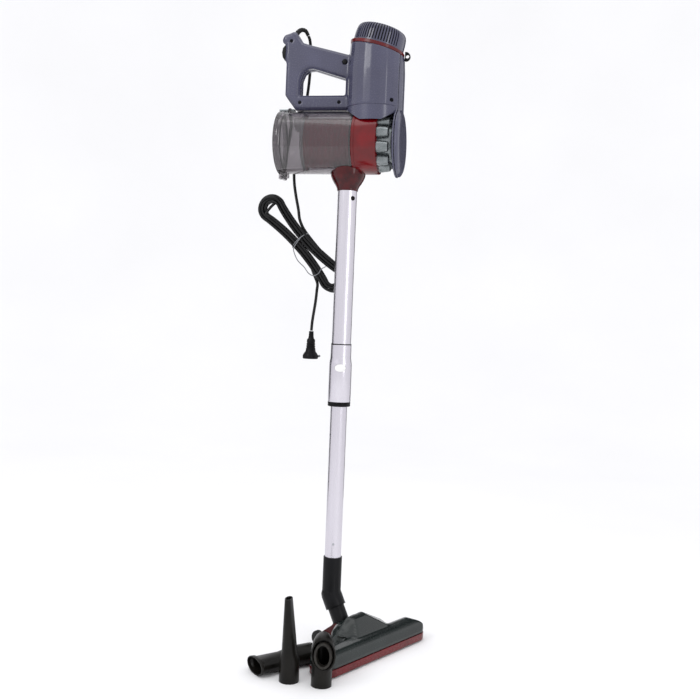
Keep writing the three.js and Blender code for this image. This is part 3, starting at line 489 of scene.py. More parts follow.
@dataclass(frozen=True)
class Finish:
    """A moulded, drawn or woven surface: its colours, gloss and the grain that shows in them."""

    name: str
    colour: str
    second: str
    roughness: float = 0.4
    spread: float = 0.08
    metallic: float = 0.0
    ior: float = 1.5
    coat: float = 0.0
    coat_roughness: float = 0.05
    transmission: float = 0.0
    sheen: float = 0.0
    anisotropic: float = 0.0
    patch: float = 40.0
    grain: float = 1.2
    depth: float = 0.02
    stretch: tuple[float, float, float] = (1.0, 1.0, 1.0)
    specular: float = 0.5

    def material(self) -> bpy.types.Material:
        """Builds the finish as a material, once.

        Returns:
            The material.
        """
        found = bpy.data.materials.get(self.name)
        if found:
            return found
        material = bpy.data.materials.new(self.name)
        material.use_nodes = True
        tree = material.node_tree
        tree.nodes.clear()
        spot = add_node(tree, "ShaderNodeTexCoord")
        laid = add_node(tree, "ShaderNodeMapping", inputs={
            "Vector": spot.outputs["Object"], "Scale": self.stretch})
        patches = add_node(tree, "ShaderNodeTexNoise", inputs={
            "Vector": laid.outputs["Vector"], "Scale": 1 / (self.patch * MM), "Detail": 3.0})
        grain = add_node(tree, "ShaderNodeTexNoise", inputs={
            "Vector": laid.outputs["Vector"], "Scale": 1 / (self.grain * MM), "Detail": 2.0})
        tint = add_node(tree, "ShaderNodeValToRGB", inputs={"Fac": patches.outputs["Fac"]})
        tint.color_ramp.elements[0].position = 0.32
        tint.color_ramp.elements[0].color = linear(self.colour)
        tint.color_ramp.elements[1].position = 0.72
        tint.color_ramp.elements[1].color = linear(self.second)
        gloss = add_node(tree, "ShaderNodeMapRange", inputs={
            "Value": grain.outputs["Fac"], "From Min": 0.3, "From Max": 0.7,
            "To Min": max(0.02, self.roughness - self.spread / 2),
            "To Max": self.roughness + self.spread / 2})
        bump = add_node(tree, "ShaderNodeBump", inputs={
            "Height": grain.outputs["Fac"], "Strength": 0.6, "Distance": self.depth * MM})
        shader = add_node(tree, "ShaderNodeBsdfPrincipled", inputs={
            "Base Color": tint.outputs["Color"], "Roughness": gloss.outputs["Result"],
            "Normal": bump.outputs["Normal"], "Metallic": self.metallic,
            "Coat Weight": self.coat, "Coat Roughness": self.coat_roughness,
            "Transmission Weight": self.transmission, "Sheen Weight": self.sheen,
            "Anisotropic": self.anisotropic, "Specular IOR Level": self.specular})
        if not self.metallic:
            shader.inputs["IOR"].default_value = self.ior
        add_node(tree, "ShaderNodeOutputMaterial", inputs={"Surface": shader.outputs["BSDF"]})
        return material


# Injection-moulded ABS, polished tool: an even gloss with the faintest orange peel.
SLATE = Finish("moulded_slate_abs", "#3c3c50", "#48485f", 0.26, 0.07, ior=1.54, coat=0.4,
               patch=70, grain=2.6, depth=0.02, specular=0.38)
# The same slate ABS on the rear cover, painted a touch lighter: painted light where light falls on
# the rear strip.
SLATE_WITH_PAINTED_LIGHT = Finish("slate_abs_with_painted_light", "#404053", "#4c4c61", 0.3, 0.08, ior=1.54, coat=0.3,
                    patch=60, grain=2.6, depth=0.02, specular=0.38)
# Moulded ABS with a dark grey-green pigment: glossy, so the room runs over it in streaks.
DARK_GREEN = Finish("moulded_dark_green_abs", "#161c1b", "#1f2625", 0.24, 0.08, ior=1.54, coat=0.3,
                    patch=50, grain=3.0, depth=0.03, specular=0.3)
# Black polypropylene, eroded tool: satin with a fine spark-eroded grain.
BLACK = Finish("moulded_black_polypropylene", "#08080a", "#101013", 0.36, 0.14, ior=1.49,
               patch=30, grain=0.9, depth=0.03, specular=0.16)
# The accessories' brown-black polypropylene, a little worn and warmer.
TOOL_BLACK = Finish("moulded_brown_black_polypropylene", "#0e0d0b", "#191714", 0.34, 0.16, ior=1.49,
                    patch=26, grain=1.1, depth=0.03, specular=0.18)
# Red ABS trim, polished: deep colour under a clear gloss.
RED = Finish("moulded_red_abs", "#52060c", "#6a0a13", 0.26, 0.08, ior=1.54, coat=0.12,
             patch=30, grain=2.0, depth=0.015, specular=0.3)
# Red-dyed polycarbonate: light goes in and comes out blood red, edges darker.
RED_CLEAR = Finish("moulded_red_polycarbonate", "#4e0006", "#72000a", 0.16, 0.06, ior=1.585,
                   specular=0.3, transmission=0.1, coat=0.15, patch=45, grain=3.5, depth=0.015)
# The same red polycarbonate, painted darker on the inlet bell: partly its real thickness, partly
# painted shade where it sits under the cup round the tube's end.
BELL_RED_WITH_PAINTED_SHADE = Finish("thick_red_polycarbonate_with_painted_shade", "#2c0004", "#4c0209", 0.2, 0.08, ior=1.585,
                  coat=0.1, patch=14, grain=3.5, depth=0.02, specular=0.25)
# Smoke-tinted polycarbonate: clear, a touch grey, with soft flow waves from the mould.
SMOKE = Finish("moulded_smoke_polycarbonate", "#a6a1a6", "#b2aeb0", 0.035, 0.02, ior=1.585,
               transmission=0.97, patch=60, grain=30.0, depth=0.0)
# Clear-white polycarbonate web inside the cup: milky where light strikes its edge.
MILK = Finish("moulded_milky_polycarbonate", "#cfd0d2", "#e2e3e4", 0.28, 0.08, ior=1.585,
              transmission=0.35, patch=20, grain=2.0, depth=0.02)
# Drawn aluminium, satin-anodised: fine lines along the tube, bright and slightly lilac.
ALUMINIUM = Finish("drawn_anodised_aluminium", "#cdc9d2", "#dedbe2", 0.27, 0.16, metallic=1.0,
                   anisotropic=0.35, patch=30, grain=0.9, depth=0.008, stretch=(1, 1, 0.02))
# Bright zinc-plated steel.
STEEL = Finish("zinc_plated_steel", "#a3a5a9", "#b9bbbf", 0.3, 0.14, metallic=1.0,
               patch=12, grain=0.8, depth=0.01)
# Blackened screw steel.
SCREW = Finish("black_oxide_screw_steel", "#17171a", "#26262b", 0.34, 0.15, metallic=1.0,
               patch=8, grain=0.5, depth=0.01)
# Metallised ABS of the cyclone cones: a grey silver skin, slightly uneven.
SILVER = Finish("metallised_silver_abs", "#6f7677", "#95999b", 0.26, 0.12, metallic=0.75,
                patch=14, grain=1.6, depth=0.02)
# Soft PVC cord: black with a dull sheen and slight drag lines.
CORD = Finish("extruded_black_pvc", "#0d0d0e", "#171718", 0.42, 0.14, ior=1.53, coat=0.15,
              patch=18, grain=0.8, depth=0.02, specular=0.16)
# Tyre and seal rubber: dull charcoal.
RUBBER = Finish("moulded_black_rubber", "#151515", "#202020", 0.72, 0.14, ior=1.52, sheen=0.1,
                patch=14, grain=0.7, depth=0.04, specular=0.2)
# White POM slide parts: dense, waxy.
WHITE = Finish("moulded_white_acetal", "#e4e4e2", "#f2f2f0", 0.32, 0.1, ior=1.48,
               patch=12, grain=1.4, depth=0.01)
# Open-cell polyurethane foam, drawn at 2 mm cells so that they show.
FOAM = Finish("open_cell_foam", "#4a2029", "#64303b", 0.95, 0.08, sheen=0.3,
              patch=6, grain=1.0, depth=0.5)
# Pleated filter paper.
PAPER = Finish("filter_paper", "#dcdad2", "#eceae4", 0.9, 0.08, patch=10, grain=0.6, depth=0.05)
# Nylon bristle, black with a thin shine along each hair.
BRISTLE = Finish("nylon_bristle", "#1a1917", "#35322e", 0.45, 0.2, ior=1.53,
                 patch=4, grain=0.7, depth=0.03, specular=0.2)
# The ribbed red shroud under the smoked cup.
SHROUD_RED = Finish("moulded_red_shroud_abs", "#a02a40", "#b03452", 0.38, 0.12, ior=1.54,
                    patch=16, grain=1.2, depth=0.03)
# The red of the trim, painted darker on the carriage: painted shade where it sits at the back of
# the head.
CARRIAGE_RED_PAINTED_SHADE = Finish("red_with_painted_shade", "#3a0f12", "#4d1518", 0.4, 0.16, ior=1.53,
                      patch=16, grain=1.0, depth=0.03, specular=0.2)
# The wire tie: grey PVC over soft wire.
TIE = Finish("grey_pvc_tie", "#6c6e72", "#808286", 0.5, 0.12, patch=8, grain=0.6, depth=0.02)


def finish_piece(piece: bpy.types.Object, name: str, body: str, finish: Finish,
                 replaced: Sequence[str] = (), smooth: float = 34) -> bpy.types.Object:
    """Names, smooths, dresses and hangs a piece on its body.

    Args:
        piece: The piece, finished in shape.
        name: The piece's name.
        body: The body that it moves with.
        finish: Its finish.
        replaced: The frame nodes it stands for.
        smooth: The angle up to which faces are shaded as one, in degrees.

    Returns:
        The piece.
    """
    bake_place(piece)
    piece.name = name
    piece.data.name = name
    activate(piece)
    bpy.ops.object.shade_smooth_by_angle(angle=math.radians(smooth))
    if not piece.data.materials:
        piece.data.materials.append(finish.material())
    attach(piece, body)
    if replaced:
        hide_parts(*replaced)
    LOG.info("%s: %d faces on %s", name, len(piece.data.polygons), body)
    return piece


def stand_in(piece: bpy.types.Object, node: str, body: str, finish: Finish,
             smooth: float = 34) -> bpy.types.Object:
    """Finishes a piece that stands for one frame node.

    Args:
        piece: The piece, finished in shape.
        node: The frame node's name.
        body: The body that it moves with.
        finish: Its finish.
        smooth: The angle up to which faces are shaded as one, in degrees.

    Returns:
        The piece.
    """
    return finish_piece(piece, f"{node}_shape", body, finish, [node], smooth)


def dress_node(node: str, finish: Finish) -> None:
    """Gives a frame node that stays its finish.

    Args:
        node: The frame node's name.
        finish: Its finish.
    """
    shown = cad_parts[node]
    shown.data.materials.clear()
    shown.data.materials.append(finish.material())
    LOG.info("%s: frame node, %s", node, finish.name)


@dataclass(frozen=True)
class Casting:
    """A frame node that is copied with rounded edges, and what it is made of."""

    node: str
    body: str
    slot: str
    finish: Finish
    bevel: float = 0.0
    segments: int = 2
    smooth: float = 34.0

    def build(self) -> bpy.types.Object:
        """Makes the rounded copy.

        Returns:
            The finished piece.
        """
        piece = recast(self.node, self.bevel, self.segments)
        return stand_in(piece, self.node, self.body, self.finish, self.smooth)


# ---------------------------------------------------------------- mains cord
def smooth_line(points: Sequence[Vector], spacing: float) -> list[Vector]:
    """Runs a smooth line through points.

    Args:
        points: The points, in metres.
        spacing: About how far apart the line's own points are, in metres.

    Returns:
        Points along the line.
    """
    line = [points[0]]
    padded = [2 * points[0] - points[1], *points, 2 * points[-1] - points[-2]]
    for before, start, end, after in zip(padded, padded[1:], padded[2:], padded[3:]):
        count = max(1, round((end - start).length / spacing))
        for step in range(1, count + 1):
            t = step / count
            line.append(0.5 * (2 * start + (end - before) * t
                               + (2 * before - 5 * start + 4 * end - after) * t ** 2
                               + (3 * start - before - 3 * end + after) * t ** 3))
    return line


def tube_curve(name: str, points: Sequence[Vector], radius: float,
               widths: Sequence[float] | None = None, sides: int = 3) -> bpy.types.Object:
    """Lays a round cord along points.

    Args:
        name: The name of the new object.
        points: The centreline, in metres.
        radius: The radius, in millimetres.
        widths: The share of the radius at each point, or None for all alike.
        sides: The curve's bevel resolution.

    Returns:
        The curve object.
    """
    curve = bpy.data.curves.new(name, "CURVE")
    curve.dimensions = "3D"
    curve.bevel_depth = radius * MM
    curve.bevel_resolution = sides
    curve.use_fill_caps = True
    spline = curve.splines.new("POLY")
    spline.points.add(len(points) - 1)
    for i, point in enumerate(points):
        spline.points[i].co = (*point, 1.0)
        spline.points[i].radius = widths[i] if widths else 1.0
    spline.use_smooth = True
    piece = bpy.data.objects.new(name, curve)
    bpy.context.scene.collection.objects.link(piece)
    return piece


def as_mesh(piece: bpy.types.Object) -> bpy.types.Object:
    """Turns a curve into a mesh with closed ends.

    Args:
        piece: The curve.

    Returns:
        The same piece as a mesh.
    """
    activate(piece)
    bpy.ops.object.convert(target="MESH")
    tidy_mesh(piece)
    return piece


@dataclass
class MainsCord:
    """The mains lead: relief, drop behind the hand unit, hank, tail and plug."""

    length: float = 5.0
    radius: float = 2.75
    relief: tuple = ((-107, 0, 1106), (-104, 2, 1112), (-99, 6, 1116.5), (-93, 11, 1116),
                     (-89, 16, 1109))
    drop: tuple = (
        (-88.6, 16.5, 1108.2), (-87, 18.9, 1104), (-86, 23, 1095), (-86, 29, 1078), (-88, 37, 1050),
        (-93, 47, 1015), (-101, 57, 980), (-110, 65, 945), (-117, 69, 910), (-120, 70, 875),
        (-118, 67, 845), (-112, 61, 818), (-104.5, 54, 792), (-99, 48.5, 770))
    tail: tuple = ((-60, 47, 652), (-60.5, 47, 640), (-62, 47, 620), (-64.5, 47, 600),
                   (-67, 47, 580), (-68, 47, 563))
    hank: tuple[float, float, float] = (-92, 47, 727)
    hank_turn: float = math.radians(46)
    lobe_at: float = 89.0
    turns: float = 8.72
    lobe_radii: tuple = (24.2, 18.8, 13.6)
    waists: tuple = (14.7, 9.0, 3.3)
    row: float = 6.6
    plug: tuple[float, float, float] = (-68, 47, 510)

    def in_hank(self, along: float, across: float, depth: float) -> Vector:
        """A point of the hank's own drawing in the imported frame.

        Args:
            along: Millimetres down the hank's length from its middle.
            across: Millimetres square to that.
            depth: Millimetres away from the viewer.

        Returns:
            The point in metres.
        """
        cosine, sine = math.cos(self.hank_turn), math.sin(self.hank_turn)
        x, y, z = self.hank
        return place(x + along * cosine + across * sine, y + depth,
                     z - along * sine + across * cosine)

    def strand(self, turn: float) -> tuple[float, float, float]:
        """Where the winding is after so many turns.

        Args:
            turn: Turns made, from the middle of the hank's upper edge.

        Returns:
            Lobe radius, half width at the waist and depth, in millimetres.
        """
        slots = [(0, 1), (0, 0), (0, -1), (1, -1), (1, 0), (1, 1), (2, 1), (2, 0), (2, -1)]
        index = min(int(turn), len(slots) - 1)
        after = min(index + 1, len(slots) - 1)
        share = min(1.0, max(0.0, (turn - index - 0.62) / 0.3))
        share = share * share * (3 - 2 * share)
        values = []
        for (column, row), weight in ((slots[index], 1 - share), (slots[after], share)):
            values.append([weight * v for v in (
                self.lobe_radii[column], self.waists[column], row * self.row)])
        radius, waist, depth = (a + b for a, b in zip(*values))
        loose = math.sin(2.3 * turn * FULL / 4 + 1.7 * index)
        return radius + 0.5 * loose, waist + 0.7 * loose, depth + 0.4 * loose

    def winding(self) -> list[Vector]:
        """The hank's turns.

        Returns:
            Points in metres, about forty for each turn.
        """
        points = []
        per_turn = 40
        for step in range(int(self.turns * per_turn) + 1):
            turn = step / per_turn
            radius, waist, depth = self.strand(turn)
            along, across = self.loop_point(turn % 1.0, radius, waist)
            points.append(self.in_hank(along, across, depth))
        return points

    def loop_point(self, share: float, radius: float, waist: float) -> tuple[float, float]:
        """A point of one turn.

        Args:
            share: How far round the turn it is, from 0 to 1.
            radius: The lobe's radius.
            waist: Half the width at the waist.

        Returns:
            Millimetres along and across the hank.
        """
        reach = self.lobe_at
        arc = math.pi * radius
        whole = 4 * reach + 2 * arc
        travel = share * whole
        if travel < reach:
            along = travel
            return along, waist + (radius - waist) * (along / reach) ** 2
        travel -= reach
        if travel < arc:
            angle = math.pi / 2 - travel / radius
            return reach + radius * math.cos(angle), radius * math.sin(angle)
        travel -= arc
        if travel < 2 * reach:
            along = reach - travel
            return along, -waist - (radius - waist) * (along / reach) ** 2
        travel -= 2 * reach
        if travel < arc:
            angle = -math.pi / 2 - travel / radius
            return -reach + radius * math.cos(angle), radius * math.sin(angle)
        along = travel - arc - reach
        return along, waist + (radius - waist) * (along / reach) ** 2

    def centreline(self) -> list[Vector]:
        """The whole cord from the relief to the plug.

        Returns:
            Points in metres.
        """
        drop = [place(*p) for p in self.drop]
        landing = [self.in_hank(-14, 18.2, 5.0)]
        leaving = [self.in_hank(*p) for p in (
            (-92, 15, 1), (-72, 19, 9), (-40, 12, 13.5), (0, -3, 14), (36, -16, 11), (60, -24, 5))]
        tail = [place(*p) for p in self.tail]
        route = drop + landing + self.winding()[2:] + leaving + tail
        return smooth_line(route, 0.0035)

    def build_cord(self) -> bpy.types.Object:
        """Returns:
            The cord.
        """
        cord = tube_curve("mains_cord", self.centreline(), self.radius)
        cord.data.materials.append(CORD.material())
        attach(cord, "motor_unit")
        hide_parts("cord_drop", "cord_hank", "cord_tail")
        return cord

    def build_relief(self) -> bpy.types.Object:
        """Makes the ribbed, tapered strain relief at the horn.

        Returns:
            The relief.
        """
        line = smooth_line([place(*p) for p in self.relief], 0.0011)
        last = len(line) - 1
        widths = []
        for i in range(last + 1):
            share = i / last
            rib = 0.86 if 2 < i < last - 1 and i % 3 == 0 else 1.0
            widths.append((4.8 + (3.3 - 4.8) * share) / 4.8 * rib)
        relief = as_mesh(tube_curve("relief", line, 4.8, widths, 5))
        return stand_in(relief, "cord_relief", "motor_unit", CORD, 40)

    def build_plug(self) -> bpy.types.Object:
        """Turns the plug's body, with its grip ribs and two pins.

        Returns:
            The plug.
        """
        foot = place(*self.plug)
        body = turned("plug_form", Axis.Z, foot, [
            (0, 0), (13.2, 0), (14.4, 1.2), (14.5, 6.6), (12.4, 10.4), (9.6, 14), (8.9, 19),
            (8.9, 20.2), (8.0, 20.8), (8.0, 22.4), (8.7, 23), (8.6, 24.4), (7.7, 25), (7.7, 26.6),
            (8.4, 27.2), (8.2, 28.6), (7.4, 29.2), (7.4, 30.8), (7.9, 31.4), (7.6, 36), (5.2, 39),
            (5.0, 42), (4.5, 42.4), (4.5, 43.6), (4.8, 44), (4.7, 46), (4.3, 46.4), (4.3, 47.6),
            (4.5, 48), (4.2, 52), (0, 52)], 48)
        pins = []
        for side in (-1, 1):
            root = foot + Vector((side * 9.5, 10, 4.5)) * MM
            pin = rod("pin", root, root + Vector((0, 23.5, 0)) * MM, 2.4, 20)
            pins.append(round_edges(pin, 0.8, 3))
        for pin in pins:
            pin.data.materials.append(STEEL.material())
        body.data.materials.append(BLACK.material())
        plug = joined("plug_body", [body, *pins])
        return stand_in(plug, "plug", "motor_unit", BLACK, 40)

    def build_tie(self) -> bpy.types.Object:
        """Bends the wire tie round the waist of the hank, its twisted end hanging down.

        Returns:
            The tie.
        """
        loop = [self.in_hank(-6 + 2 * math.sin(a), 19.4 * math.cos(a), 12.2 * math.sin(a))
                for a in [FULL * i / 20 for i in range(-5, 17)]]
        end = [self.in_hank(-2, -16, -13.5), self.in_hank(8, -23, -13), self.in_hank(22, -27, -12),
               self.in_hank(38, -26, -11.5), self.in_hank(52, -27.5, -11),
               self.in_hank(62, -24, -12), self.in_hank(66, -14, -13.4),
               self.in_hank(64, -4, -13.8), self.in_hank(66, 6, -13.6)]
        tie = as_mesh(tube_curve("tie", smooth_line(loop + end, 0.002), 0.9, None, 3))
        return finish_piece(tie, "cord_tie", "motor_unit", TIE, (), 40)

    def build(self) -> None:
        """Makes all the cord's pieces."""
        plug = self.build_plug()
        self.build_cord()
        self.build_relief()
        self.build_tie()


# ---------------------------------------------------------------- telescopic tube
@dataclass
class Tube:
    """The two aluminium tubes with their sleeve, latch and snap button."""

    outer: float = 17.5
    inner: float = 15.0
    wall: float = 1.2
    lower_start: float = 100.2
    lower_end: float = 500.0
    upper_start: float = 437.2
    upper_end: float = 849.0
    notch: float = 3.2
    notch_heights: tuple = (215, 262, 309, 356, 403)
    snap_turn: float = math.radians(-43)
    snap_height: float = 805.0
    latch_turn: float = math.radians(-79)
    latch_height: float = 499.0

    def out(self, angle: float, distance: float, height: float) -> Vector:
        """A point beside the tube's axis.

        Args:
            angle: Which way it is, in radians.
            distance: Millimetres from the axis.
            height: Millimetres above the floor.

        Returns:
            The point in metres.
        """
        return place(distance * math.cos(angle), distance * math.sin(angle), height)

    def pipe(self, name: str, radius: float, low: float, high: float) -> bpy.types.Object:
        """Turns a thin pipe with softened ends.

        Args:
            name: The name of the new object.
            radius: The outer radius.
            low: Where it starts.
            high: Where it ends.

        Returns:
            The pipe.
        """
        bore, soft = radius - self.wall, 0.3
        profile = [(bore, low), (radius - soft, low), (radius, low + soft), (radius, high - soft),
                   (radius - soft, high), (bore, high)]
        return turned(name, Axis.Z, place(0, 0, 0), profile, 72)

    def build_pipes(self) -> None:
        """Makes the lower tube with its latch notches, and the upper one with its button hole."""
        lower = self.pipe("lower", self.inner, self.lower_start, self.lower_end)
        notches = [rod("notch", place(0, 2, z), place(0, 30, z), self.notch, 20)
                   for z in self.notch_heights]
        carve(lower, *notches)
        stand_in(lower, "lower_tube", "stick_base", ALUMINIUM)
        upper = self.pipe("upper", self.outer, self.upper_start, self.upper_end)
        hole = rod("hole", self.out(self.snap_turn, 4, self.snap_height),
                   self.out(self.snap_turn, 30, self.snap_height), 4.2, 24)
        carve(upper, hole)
        stand_in(upper, "upper_tube", "upper_wand", ALUMINIUM)

    def oval(self, name: str, start: float, end: float, half: tuple[float, float],
             steps: int) -> bpy.types.Object:
        """Draws an oval block that points out of the tube at the latch.

        Args:
            name: The name of the new object.
            start: Millimetres from the axis to its inner face.
            end: Millimetres from the axis to its outer face.
            half: Half its width and half its height, in millimetres.
            steps: How many flats the oval has.

        Returns:
            The block.
        """
        side = Vector((-math.sin(self.latch_turn), math.cos(self.latch_turn), 0))
        centre = self.out(self.latch_turn, start, self.latch_height)
        sweep = self.out(self.latch_turn, end, self.latch_height) - centre
        outline = [centre + (side * half[0] * math.cos(a) + Axis.Z.vector() * half[1] * math.sin(a))
                   * MM for a in [FULL * i / steps for i in range(steps)]]
        return slab(name, outline, sweep)

    def build_sleeve(self) -> None:
        """Turns the flared sleeve, its top band and the black end ring."""
        sleeve = turned("sleeve", Axis.Z, place(0, 0, 0), [
            (17.7, 437.2), (20.2, 437.2), (20.5, 437.8), (20.5, 504), (20.2, 507), (19.3, 512),
            (18.7, 516), (18.6, 519), (18.6, 539.6), (18.3, 540), (17.7, 540)], 72)
        carve(sleeve, self.oval("oval", 12, 30, (10.3, 7.1), 40))
        stand_in(sleeve, "tube_sleeve", "upper_wand", ALUMINIUM)
        band = turned("band", Axis.Z, place(0, 0, 0), [
            (17.7, 540.2), (18.5, 540.2), (18.6, 540.6), (18.6, 541.6), (18.4, 542), (17.7, 542)])
        stand_in(band, "sleeve_band", "upper_wand", RUBBER)
        ring = turned("ring", Axis.Z, place(0, 0, 0), [
            (15.2, 429), (19.7, 429), (20.5, 430), (20.5, 432.4), (20.1, 432.8), (20.1, 433.4),
            (20.5, 433.8), (20.5, 436.6), (20.2, 437), (15.2, 437)], 72)
        stand_in(ring, "end_ring", "upper_wand", BLACK)

    def build_buttons(self) -> None:
        """Makes the white oval latch and the black snap button with their crowned faces."""
        latch = self.oval("latch", 19.2, 22.6, (10, 6.8), 48)
        outwards = Vector((math.cos(self.latch_turn), math.sin(self.latch_turn), 0))
        pick_faces(latch, lambda centre, normal: normal.dot(outwards) > 0.9)
        bpy.ops.mesh.inset(thickness=1.6 * MM, depth=-0.4 * MM)
        bpy.ops.mesh.inset(thickness=0.6 * MM, depth=0.3 * MM)
        close_edit()
        round_edges(latch, 0.5, 3)
        stand_in(latch, "latch_button", "latch_button", WHITE)
        snap = rod("snap", self.out(self.snap_turn, 14, self.snap_height),
                   self.out(self.snap_turn, 19.5, self.snap_height), 4, 32)
        round_edges(snap, 1.4, 4)
        stand_in(snap, "snap_button", "snap_button", BLACK)
        rivet = rod("rivet", self.out(self.latch_turn, 14.6, 181),
                    self.out(self.latch_turn, 15.6, 181), 2.2, 24)
        round_edges(rivet, 0.6, 3)
        finish_piece(rivet, "tube_rivet", "stick_base", STEEL)

    def build(self) -> None:
        """Makes all the tube's pieces."""
        self.build_pipes()
        self.build_sleeve()
        self.build_buttons()
        dress_node("tube_bushing", WHITE)
        dress_node("snap_leaf", STEEL)


# ---------------------------------------------------------------- dust cup and cyclones
@dataclass
class DustCup:
    """The smoked cup with its lid, the red cyclone housing, the crown and what is inside."""

    lid_x: float = -124.0
    end_x: float = 12.0
    wall: float = 2.2
    housing_end: float = 57.0
    cones: int = 10
    cone_at: float = 41.0
    cone: float = 11.0
    shroud_ribs: int = 13
    hinge: tuple[float, float] = (-121.0, 843.0)
    hinge_radius: float = 4.5
    hinge_bore: float = 1.8
    centre: Vector = field(default_factory=lambda: place(0, 0, CUP_Z))

    def hinge_rod(self, name: str, low: float, high: float, radius: float,
                  sides: int = 32) -> bpy.types.Object:
        """Adds a round bar along the lid's hinge line.

        Args:
            name: The name of the new object.
            low: Where it starts across the cup.
            high: Where it ends across the cup.
            radius: Its radius, in millimetres.
            sides: How many flats the circle has.

        Returns:
            The bar.
        """
        x, z = self.hinge
        return rod(name, place(x, low, z), place(x, high, z), radius, sides)

    def build_cup(self) -> None:
        """Turns the cup's shell with its bead, cuts the inlet, and adds its lugs."""
        r, x0, x1 = CUP_RADIUS, self.lid_x, self.end_x
        shell = turned("cup", Axis.X, self.centre, [
            (r - self.wall + 1, x0), (r + 1.2, x0), (r + 1.5, x0 + 0.5), (r + 1.5, x0 + 4.4),
            (r + 1.1, x0 + 5.2), (r, x0 + 6.8), (r, x1 - 0.3), (r - 0.3, x1), (r - self.wall, x1),
            (r - self.wall, x0 + 2)], 112)
        inlet = rod("inlet", place(0, 0, 820), place(0, 0, CUP_Z), 11, 40)
        carve(shell, inlet)
        stand_in(shell, "cup_body", "dust_cup", SMOKE)
        lugs = []
        for low, high in ((-10, -5.3), (5.3, 10)):
            barrel = self.hinge_rod("lug", low, high, self.hinge_radius)
            web = brick("web", place(self.hinge[0], low, self.hinge[1]),
                        place(-113, high, CUP_Z - CUP_RADIUS + 1.2))
            lugs.append(round_edges(carve(barrel, web, operation="UNION"), 0.5))
        for low, high in ((-9.2, -7.3), (7.3, 9.2)):
            ear = brick("ear", place(-115, low, CUP_Z + CUP_RADIUS - 0.4), place(-109, high, 969))
            lugs.append(round_edges(ear, 0.8, 3))
        lug = joined("cup_lugs", lugs)
        carve(lug, self.hinge_rod("bore", -20, 20, self.hinge_bore, 20))
        finish_piece(lug, "cup_lugs", "dust_cup", SMOKE)

    def build_lid(self) -> None:
        """Turns the domed lid with its flange and plug wall, and adds the hinge knuckle."""
        face, r, wall = self.lid_x - 0.2, CUP_RADIUS, self.wall
        plug = r - wall - 0.2
        lid = turned("lid", Axis.X, self.centre, [
            (0, face - 12), (18, face - 11.8), (30, face - 10.9), (40, face - 9.2),
            (47, face - 7.4), (51.5, face - 5.6), (53.5, face - 4.7), (r + 1.1, face - 4.7),
            (r + 1.5, face - 4.3), (r + 1.5, face - 0.4), (r + 1.2, face), (plug, face),
            (plug, face + 6), (plug - 2, face + 6), (plug - 2, face - 3.7), (43, face - 6.4),
            (28, face - 8.6), (0, face - 9.8)], 112)
        knuckle = self.hinge_rod("knuckle", -5, 5, self.hinge_radius)
        arm = brick("arm", place(face - 4.7, -5, 840), place(self.hinge[0], 5, 847.5))
        riser = brick("riser", place(face - 4.7, -5, 840), place(face, 5, 851))
        hinge = carve(knuckle, arm, riser, operation="UNION")
        round_edges(hinge, 0.5)
        carve(hinge, self.hinge_rod("bore", -20, 20, self.hinge_bore, 20))
        whole = joined("cup_lid_form", [lid, hinge])
        stand_in(whole, "cup_lid", "cup_lid", SMOKE)

    def build_housing(self) -> None:
        """Turns the red cyclone housing with its end plate and raised rim."""
        r, x0, x1 = CUP_RADIUS, self.end_x + 0.2, self.housing_end
        housing = turned("housing", Axis.X, self.centre, [
            (r - 2.5, x0), (r - 0.4, x0), (r, x0 + 0.4), (r, x0 + 4), (r - 0.5, x0 + 4.5),
            (r - 0.5, x0 + 5.5), (r, x0 + 6), (r, x1 - 2.2), (r - 0.7, x1 - 0.7), (r - 2.2, x1),
            (26, x1), (26, x1 - 3), (r - 2.5, x1 - 3)], 112)
        stand_in(housing, "cyclone_housing", "dust_cup", RED_CLEAR)

    def build_bell(self) -> None:
        """Turns the inlet bell that takes the tube, and cuts it to the cup and the tube."""
        z = 819
        bell = turned("bell", Axis.Z, place(0, 0, 0), [
            (0, z), (18.2, z), (19, z + 0.8), (19.1, z + 3), (20, z + 6), (22.2, z + 10),
            (25, z + 14), (28.4, z + 20), (31, z + 26), (31.9, z + 32), (32, z + 37),
            (32, z + 61), (0, z + 61)], 72)
        cup = rod("cup", place(-200, 0, CUP_Z), place(200, 0, CUP_Z), CUP_RADIUS + 0.2, 112)
        socket = rod("socket", place(0, 0, 800), place(0, 0, 849.2), 17.7, 72)
        port = rod("port", place(0, 0, 840), place(0, 0, 900), 11, 40)
        carve(bell, cup, socket, port)
        stand_in(bell, "inlet_socket", "dust_cup", BELL_RED_WITH_PAINTED_SHADE)

    def build_crown(self) -> None:
        """Makes one silver cyclone cone and sets it ten times round the core."""
        start = self.housing_end + 0.2
        core = turned("core", Axis.X, self.centre, [
            (12, start), (36, start), (36, start + 18), (34.5, start + 24), (30, start + 28),
            (26, start + 28.8), (12, start + 28.8)], 80)
        first = place(0, self.cone_at * math.cos(FULL / 2 / self.cones),
                      CUP_Z + self.cone_at * math.sin(FULL / 2 / self.cones))
        cone = turned("cone", Axis.X, first, [
            (0, start), (self.cone, start), (self.cone, start + 7), (self.cone - 0.6, start + 8),
            (self.cone - 0.9, start + 14), (self.cone - 2.2, start + 19.5),
            (self.cone - 4.2, start + 20.7), (4.4, start + 20.7), (4.0, start + 17.5),
            (0, start + 17.5)], 32)
        cones = [cone]
        for i in range(1, self.cones):
            cones.append(own_copy(cone, turned_about(self.centre, Axis.X, FULL * i / self.cones)))
        crown = joined("crown", [core, *cones])
        stand_in(crown, "cyclone_crown", "dust_cup", SILVER)

